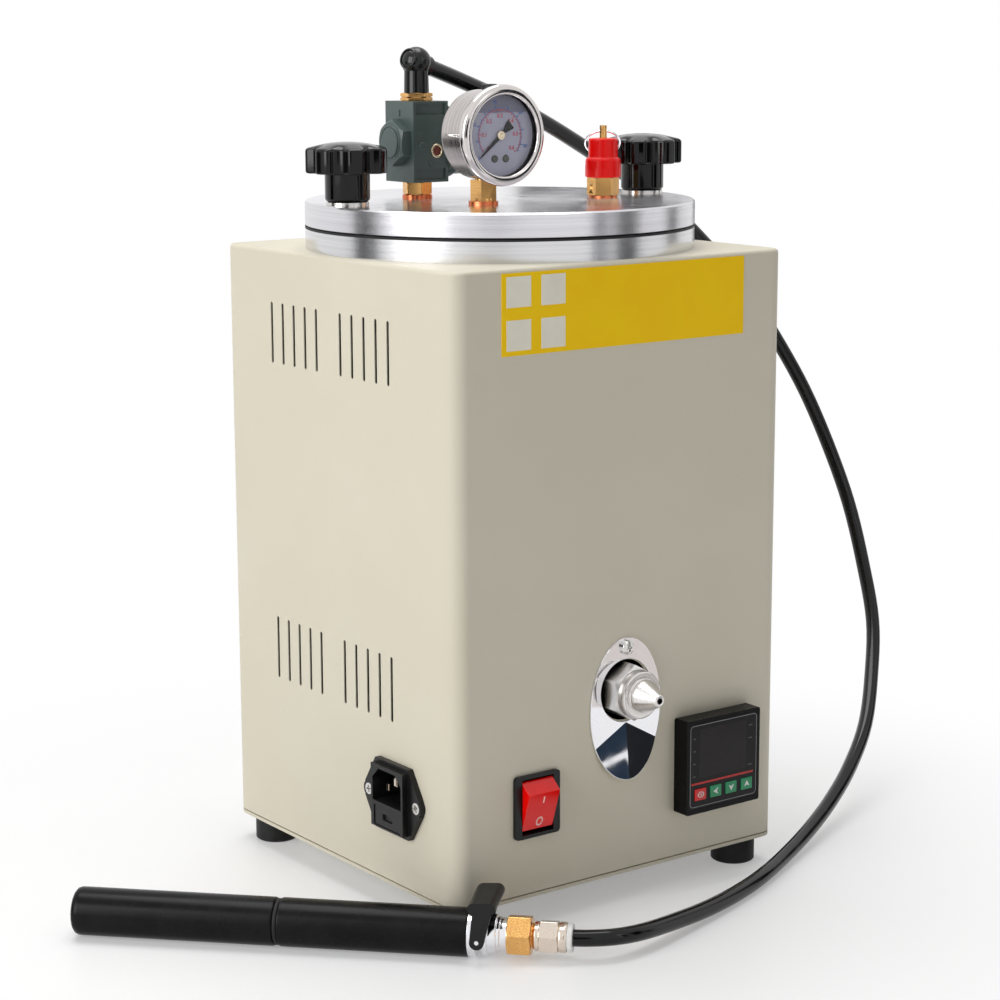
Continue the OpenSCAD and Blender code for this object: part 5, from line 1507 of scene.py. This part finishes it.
# %% Nipple and bush
NIPPLE = Vector((41.345 * MM, 56.5 * MM, 0))
nipple = hexagon("nipple", 13, 339.0, 345.6, 12)
bush_low = hexagon("bush_low", 14, 385.2, 387.1, 25, cone=0.3)
bush_high = hexagon("bush_high", 14, 387.0, 389.2, 25, cone=0.35)
spigot = lathe("spigot", [(0, 326), (4.8, 326), (4.8, 339.2), (0, 339.2)], fillet=0.3, sides=40)
nipples = join([nipple, bush_low, bush_high, spigot], "nipple_and_bush")
stand(nipples, NIPPLE)
dress(nipples, "lid_assembly", "brass", brass, "brass_nipples")
dress(
    softened("gauge_socket", "gauge_socket_brass", 0.35, 2), "lid_assembly", "brass", brass, "gauge_socket"
)

# %% [markdown]
# The valve's body has a hexagon low down with a vent hole in one side, a neck for the cap and a
# spigot for the lid.

# %% Relief valve body
relief_hexagon = hexagon("relief_hexagon", 14, 338.2, 347.4, 25, cone=0.35)
side_hole = lathe("side_hole", [(0, 0), (1.5, 0), (1.5, 12), (0, 12)], sides=24)
HOLE_BEARING = math.radians(175)
stand(side_hole, (0, 0, 342.2 * MM), (math.cos(HOLE_BEARING), math.sin(HOLE_BEARING), 0))
carve(relief_hexagon, side_hole)
relief_neck = lathe("relief_neck", [(0, 347), (7.0, 347), (7.0, 352.2), (0, 352.2)], fillet=0.3, sides=48)
relief_spigot = lathe(
    "relief_spigot", [(0, 326), (4.8, 326), (4.8, 338.4), (0, 338.4)], fillet=0.3, sides=40
)
relief_body = join([relief_hexagon, relief_neck, relief_spigot], "relief_body_brass")
stand(relief_body, (RELIEF.x, RELIEF.y, 0))
dress(relief_body, "lid_assembly", "brass", brass, "relief_valve_body")

# %% [markdown]
# ## Springs
# Both springs are wound wire: each is a softened copy of its CAD node on its body. In the real injector the
# valve's spring is pressed against the cap when the pin is pulled, and the nozzle's spring against its seat
# when the nozzle goes in.

# %% Springs
PIN_TRAVEL = 3 * MM
NOZZLE_TRAVEL = 2.2 * MM
for node, body, joint, along, travel in (
    ("relief_spring", "lid_assembly", "pin_pull", 2, PIN_TRAVEL),
    ("nozzle_spring", "cabinet", "nozzle_press", 1, NOZZLE_TRAVEL),
):
    coil = softened(node, node + "_coil", 0.02, 1, 60)
    dress(coil, body, "zinc_steel", zinc, node)
    axis = Vector([1.0 if i == along else 0.0 for i in range(3)])
    seat_end = Vector(middle(node))
    seat_end[along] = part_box(node)[1][along]
    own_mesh(coil)

# %% [markdown]
# ## Elbow
# The elbow keeps its CAD form. Only the moulded ring on its round end face is added, which shows as
# an arch over the stem.

# %% Elbow details
elbow_face = lathe(
    "elbow_end_face",
    [
        (0, 5.6), (3.9, 5.6), (4.2, 6.5), (4.5, 6.75), (5.0, 6.6), (5.3, 6.0), (5.5, 5.0), (5.5, 3.0),
        (0, 3.0),
    ],
    fillet=0.2,
    sides=64,
)
fit(elbow_face, ELBOW_BALL, -ELBOW_AIM, "lid_assembly", "black_plastic", black_gloss)

# %% [markdown]
# ## Nozzle and its seat
# The seat is a hexagon whose front corners are turned well round. The nozzle slides in it: a broad
# disc to press the mould against, a step, a groove and a cone that ends in a rounded tip.

# %% Nozzle and seat
NOZZLE = Vector((middle("nozzle").x, FRONT_Y, middle("nozzle").z))
seat = hexagon("seat", 24.2, -13.9, 9.5, 30, cone=0.85)
seat_bore = lathe("seat_bore", [(0, -12.5), (9.6, -12.5), (9.6, 12), (0, 12)], sides=72)
carve(seat, seat_bore)
seat_tail = lathe("seat_tail", [(0, -25), (7.9, -25), (7.9, -13.5), (0, -13.5)], fillet=0.4, sides=48)
seat = join([seat, seat_tail], "nozzle_seat")
fit(seat, NOZZLE, OUT_OF_FRONT, "cabinet", "turned_aluminium", outlet_metal, "outlet_body")
tip = lathe(
    "injection_tip",
    [
        (1.5, -6.0), (9.5, -6.0), (9.5, 11.7), (10.9, 11.75), (11.5, 12.2), (11.7, 12.9), (11.55, 13.5),
        (11.0, 13.95), (8.75, 14.0), (8.5, 14.15), (8.45, 14.75), (8.2, 15.05), (7.55, 15.1), (7.4, 15.3),
        (7.4, 15.75), (7.6, 16.0), (7.95, 16.2), (7.9, 16.7), (3.1, 25.9), (2.85, 26.5), (2.4, 26.85),
        (1.9, 26.9), (1.55, 26.7), (1.5, 26.2), (1.5, -6.0),
    ],
    sides=96,
)
fit(tip, NOZZLE, OUT_OF_FRONT, "injection_nozzle", "turned_aluminium", nozzle_metal, "nozzle")

# %% [markdown]
# The plate round the nozzle is pressed sheet with a fold at its foot. Its edge is rolled a little, so
# it shows the thin bright outline that polished sheet has.

# %% Drip plate
plate = softened("drip_plate", "drip_plate_pressed", 0.3, 3, 20)
smooth(plate, 5)
dress(plate, "cabinet", "chrome", chrome, "drip_plate")

# %% [markdown]
# ## Rocker switch
# A black snap-in frame with rounded corners, and a rocker in clear red plastic. The marks for on and
# off are raised lines on the rocker's main face, so they tilt with it.

# %% Rocker switch
ROCKER_TILT = 18.0
PIVOT = Vector((middle("switch_frame").x, FRONT_Y + 2.4 * MM, middle("switch_frame").z))
ROCKER_OUT = Vector((0, -math.cos(math.radians(ROCKER_TILT)), -math.sin(math.radians(ROCKER_TILT))))
dress(
    softened("switch_frame", "switch_bezel", 0.55, 3), "cabinet", "switch_black", switch_black,
    "switch_frame"
)
dress(
    softened("switch_rocker", "switch_rocker_clear", 0.45, 3, 20), "power_rocker", "switch_red",
    rocker_red, "switch_rocker"
)
FACE_OUT = 7.02
on_mark = block("on_mark", (0.4, 6.2, FACE_OUT), (0.75, 3.6, 0.12), 0.05, 1)
off_mark = lathe(
    "off_mark", [(1.55, -0.06), (2.3, -0.06), (2.3, 0.06), (1.55, 0.06), (1.55, -0.06)], sides=40
)
off_mark.scale = (0.85, 1.1, 1)
off_mark.location = (0.4 * MM, -5.9 * MM, FACE_OUT * MM)
settle(off_mark)
rocker_marks = join([on_mark, off_mark], "rocker_marks")
fit(rocker_marks, PIVOT, ROCKER_OUT, "power_rocker", "switch_red", rose_ink)

# %% [markdown]
# ## Temperature controller
# A deep black bezel round a printed film. On the film are a thin grey frame, a smoked window, a red
# line over the keys and small marks beside the window. Nothing is written on it: the marks are plain
# dashes and the keys carry plain signs.

# %% Controller bezel, window and frame line
BEZEL = Vector(
    (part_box("controller_case")[0].x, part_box("controller_faceplate")[0].y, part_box("controller_case")[0].z)
)
dress(softened("controller_case", "controller_bezel", 0.9, 3), "cabinet", "black_plastic", controller_black,
      "controller_case")
window = block("controller_window", (23.5, 30.6, 0.02), (31, 25, 0.12), 0.05, 1)
fit(window, BEZEL, OUT_OF_FRONT, "cabinet", "panel_film", window_film)

UPRIGHT = 1e-7


def frame_line(name, low, high, width, round_off):
    """A thin rounded frame: a flat block with rounded corners, inset and hollowed."""
    centre = ((low[0] + high[0]) / 2, (low[1] + high[1]) / 2)
    extent = (high[0] - low[0], high[1] - low[1])
    outer = block(name, (*centre, 0.0), (*extent, 0.16))
    inner = block("inner", (*centre, 0.0), (extent[0] - 2 * width, extent[1] - 2 * width, 1))
    for part, reach in ((outer, round_off), (inner, round_off - width)):
        choose(part)
        bpy.ops.object.mode_set(mode="EDIT")
        bpy.ops.mesh.select_all(action="DESELECT")
        bpy.ops.object.mode_set(mode="OBJECT")
        for edge in part.data.edges:
            a, b = (part.data.vertices[i].co for i in edge.vertices)
            edge.select = (a - b).xy.length < UPRIGHT
        bpy.context.tool_settings.mesh_select_mode = (False, True, False)
        bpy.ops.object.mode_set(mode="EDIT")
        bpy.ops.mesh.bevel(offset=reach * MM, segments=5)
        bpy.ops.object.mode_set(mode="OBJECT")
        bpy.context.tool_settings.mesh_select_mode = (True, False, False)
    carve(outer, inner)
    return outer


line_frame = frame_line("controller_line_frame", (2.2, 3.6), (45.8, 45.4), 0.34, 2.0)
fit(line_frame, BEZEL, OUT_OF_FRONT, "cabinet", "panel_film", grey_ink)
red_line = block("controller_red_line", (23.4, 15.5, 0.0), (40.6, 1.05, 0.16), 0.05, 1)
fit(red_line, BEZEL, OUT_OF_FRONT, "cabinet", "panel_film", red_line_ink)
side_marks = [block("mark", (4.9, z, 0.0), (1.6, 0.6, 0.14)) for z in (38.7, 32.3, 25.9, 19.4)]
side_marks += [block("mark", (41.6, z, 0.0), (2.4, 0.6, 0.14)) for z in (39.8, 33.2, 19.4)]
side_marks = join(side_marks, "controller_side_marks")
fit(side_marks, BEZEL, OUT_OF_FRONT, "cabinet", "panel_film", faint_ink)

# %% [markdown]
# Keys are low blocks with soft edges. Each one carries its sign as a thin piece that rides with
# it, so the sign goes in when the key is pressed.


# %% Keys and their signs
def arrowhead(name, height):
    """A notched arrowhead that points up, from a four-cornered disc with two corners moved."""
    clear_selection()
    bpy.ops.mesh.primitive_circle_add(vertices=4, radius=height / 2 * MM, fill_type="NGON")
    head = bpy.context.object
    head.name = name
    pick(head, lambda place: place.y < -0.4 * height * MM)
    bpy.ops.transform.translate(value=(0, 0.34 * height * MM, 0))
    bpy.ops.object.mode_set(mode="OBJECT")
    pick(head, lambda place: abs(place.x) > 0.4 * height * MM)
    bpy.ops.transform.translate(value=(0, -0.4 * height * MM, 0))
    bpy.ops.object.mode_set(mode="OBJECT")
    edit_all(head)
    bpy.ops.mesh.extrude_region_move(TRANSFORM_OT_translate={"value": (0, 0, 0.12 * MM)})
    bpy.ops.mesh.select_all(action="SELECT")
    bpy.ops.mesh.normals_make_consistent(inside=False)
    bpy.ops.object.mode_set(mode="OBJECT")
    return head


KEYS = (
    ("set_key", "set_button", "red_key", red_key_plastic, None),
    ("shift_key", "shift_button", "green_key", green_key_plastic, 90),
    ("down_key", "down_button", "green_key", green_key_plastic, 180),
    ("up_key", "up_button", "green_key", green_key_plastic, 0),
)
for node, body, slot, finish, heading in KEYS:
    dress(softened(node, node + "_cap", 0.7, 3), body, slot, finish, node)
    key_middle = middle(node)
    key_front = Vector((key_middle.x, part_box(node)[0].y + 0.02 * MM, key_middle.z))
    if heading is None:
        sign = lathe("sign", [(1.25, 0), (1.65, 0), (1.65, 0.12), (1.25, 0.12), (1.25, 0)], sides=32)
        sign.scale = (1.25, 0.9, 1)
        settle(sign)
        bar = block("bar", (0, 0, 0.06), (1.5, 0.4, 0.12))
        stem = block("stem", (0.2, 0, 0.06), (0.4, 1.3, 0.12))
        sign = join([sign, bar, stem], "sign")
    else:
        sign = arrowhead("sign", 3.4)
    sign.name = node + "_sign"
    stand(sign, key_front, OUT_OF_FRONT, heading or 0)
    dress(sign, body, slot, white_ink)

# %% [markdown]
# ## Front label
# The yellow label is bare but for four pale fields at its left, two rows of two.

# %% Pale fields on the label
LABEL_LOW, LABEL_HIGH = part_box("front_label")
FIELD = 14.0
fields = []
for across in (9.6, 29.4):
    for down in (8.6, 28.4):
        field = block("field", (0, 0, 0), (FIELD, FIELD, 0.1), 0.04, 1)
        field.location = (LABEL_LOW.x + across * MM, LABEL_HIGH.z - down * MM, 0)
        settle(field)
        fields.append(field)
fields = join(fields, "label_pale_fields")
stand(fields, (0, LABEL_LOW.y, 0), OUT_OF_FRONT)
dress(fields, "cabinet", "label_yellow", label_pale)

# %% [markdown]
# ## Mains inlet
# The inlet is one moulding with soft edges. Its screws get a real cross recess, cut by two small
# blades, and so does the screw that holds the drip plate.

# %% Inlet, drawer and screws
dress(
    softened("mains_inlet", "mains_inlet_moulding", 0.5, 2), "cabinet", "black_plastic", black_satin,
    "mains_inlet"
)
dress(
    softened("fuse_drawer", "fuse_drawer_moulding", 0.4, 2), "drawer", "black_plastic", black_satin,
    "fuse_drawer"
)
fasteners = softened("screws", "screws_with_recess", 0.12, 1, 50)
DRIP_SCREW = Vector((NOZZLE.x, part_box("screws")[0].y, 128.2 * MM))
INLET = Vector((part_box("screws")[0].x, -24.8 * MM, 59.5 * MM))
RECESSES = (
    (DRIP_SCREW, OUT_OF_FRONT, 20),
    (INLET + Vector((0, -20 * MM, 0)), (-1, 0, 0), 35),
    (INLET + Vector((0, 20 * MM, 0)), (-1, 0, 0), 10),
)
for place, axis, turn in RECESSES:
    for quarter in (0, 90):
        blade_cut = block("blade_cut", (0, 0, 0), (3.6, 0.8, 2.2))
        stand(blade_cut, place, axis, turn + quarter)
        carve(fasteners, blade_cut)
dress(fasteners, "cabinet", "zinc_steel", zinc, "screws")

# %% [markdown]
# ## Hand pump
# Handle and sleeve are black tubes with rounded ends that almost meet, with a rubber bumper ring
# between them.

# %% Pump tubes
handle = lathe(
    "pump_handle_tube",
    [
        (0, 3.0), (8.4, 3.0), (9.8, 3.3), (10.9, 4.2), (11.35, 5.6), (11.4, 7.0), (11.4, 99.3),
        (11.1, 100.1), (10.5, 100.4), (10.0, 100.4), (10.0, 5.5), (0, 5.5),
    ],
    sides=96,
)
fit(handle, PUMP_START, PUMP_AIM, "handle", "black_anodise", black_anodise, "pump_handle")
rod = softened("pump_rod", "pump_rod_turned", 0.2, 1)
rod_end = lathe("rod_end", [(0, 0), (8, 0), (8, 4.6), (0, 4.6)], sides=32)
stand(rod_end, PUMP_START, PUMP_AIM)
carve(rod, rod_end)
dress(rod, "handle", "zinc_steel", zinc, "pump_rod")
bumper = lathe(
    "handle_bumper",
    [(9.5, 100.5), (10.7, 100.5), (10.9, 101.3), (10.7, 102.2), (9.5, 102.2), (9.5, 100.5)],
    fillet=0.2,
    sides=64,
)
fit(bumper, PUMP_START, PUMP_AIM, "cabinet", "black_rubber", rubber)
sleeve = lathe(
    "pump_sleeve_tube",
    [
        (9.55, 102.3), (10.6, 102.3), (11.1, 102.6), (11.4, 103.4), (11.4, 191.0), (11.1, 191.9),
        (9.55, 191.9), (9.55, 102.3),
    ],
    sides=96,
)
fit(sleeve, PUMP_START, PUMP_AIM, "cabinet", "black_anodise", black_anodise, "pump_sleeve")

# %% [markdown]
# The head is a stack of bright turned steps with a cross pin, and the thumb lever straddles it.

# %% Pump head
head_turned = lathe(
    "pump_head_turned",
    [
        (0, 186), (8.4, 186), (8.4, 191.95), (11.1, 191.95), (11.1, 195.4), (10.8, 195.7), (7.5, 195.7),
        (7.5, 198.5), (9.9, 198.5), (10.2, 198.8), (10.2, 200.7), (9.9, 201.0), (9.1, 201.1),
        (9.0, 201.5), (9.0, 204.6), (8.6, 205.0), (8.0, 205.1), (8.0, 206.4), (7.6, 206.7), (7.6, 209.7),
        (0, 209.7),
    ],
    fillet=0.15,
    sides=80,
)
pins = lathe(
    "pins", [(0, -13.5), (1.0, -13.5), (1.3, -13.2), (1.3, 13.2), (1.0, 13.5), (0, 13.5)], sides=24
)
PIN_AXIS = PUMP_AIM.cross(Vector((0, 0, 1)))
stand(head_turned, PUMP_START, PUMP_AIM)
stand(pins, PUMP_START + 197.1 * MM * PUMP_AIM, PIN_AXIS)
pump_head = join([head_turned, pins], "pump_head_turned")
dress(pump_head, "cabinet", "chrome", chrome, "pump_head")
dress(softened("pump_lever", "pump_thumb_lever", 0.6, 3, 25), "lock_lever", "black_plastic", black_satin,
      "pump_lever")

# %% [markdown]
# The fittings at the pump: a brass union, a short thread and a nickel nut with a waist, and a white
# release collar that holds the hose.

# %% Pump fittings
PUMP_ROLL = 30.0
union = hexagon("union", 17, 209.7, 221.0, PUMP_ROLL, cone=0.5)
union_thread = lathe(
    "union_thread",
    [(0, 220)] + [(6.0 - 0.35 * (i % 2), 220 + 0.5 * i) for i in range(17)] + [(0, 228)],
    sides=40,
)
union = join([union, union_thread], "hex_union_brass")
fit(union, PUMP_START, PUMP_AIM, "cabinet", "brass", brass, "hex_union")
nut = hexagon("nut", 14, 224.6, 233.4, PUMP_ROLL, cone=0.45)
nut_collars = lathe(
    "nut_collars",
    [
        (0, 222.2), (6.4, 222.2), (6.9, 222.6), (6.9, 224.2), (6.5, 224.8), (6.5, 233.2), (6.9, 233.6),
        (7.15, 234.4), (7.15, 236.4), (6.7, 237.4), (0, 237.4),
    ],
    fillet=0.25,
    sides=64,
)
nut = join([nut, nut_collars], "hose_nut_nickel")
fit(nut, PUMP_START, PUMP_AIM, "cabinet", "nickel", nickel, "hose_fitting")
collar = lathe(
    "release_collar",
    [
        (4.05, 231.5), (4.3, 231.5), (4.3, 237.3), (6.5, 237.5), (6.7, 237.9), (6.7, 239.6), (6.4, 240.0),
        (4.3, 240.0), (4.05, 239.7), (4.05, 231.5),
    ],
    sides=64,
)
fit(collar, PUMP_START, PUMP_AIM, "cabinet", "white_plastic", white_plastic, "fitting_collar")

# %% [markdown]
# ## Feet
# The CAD feet with rounded edges, so that they meet the floor softly.

# %% Feet
dress(
    softened("rubber_feet", "rubber_feet_moulded", 0.8, 3, 40), "cabinet", "black_rubber", rubber,
    "rubber_feet"
)

# %% [markdown]
# ## End

# %% End
print("end of script")
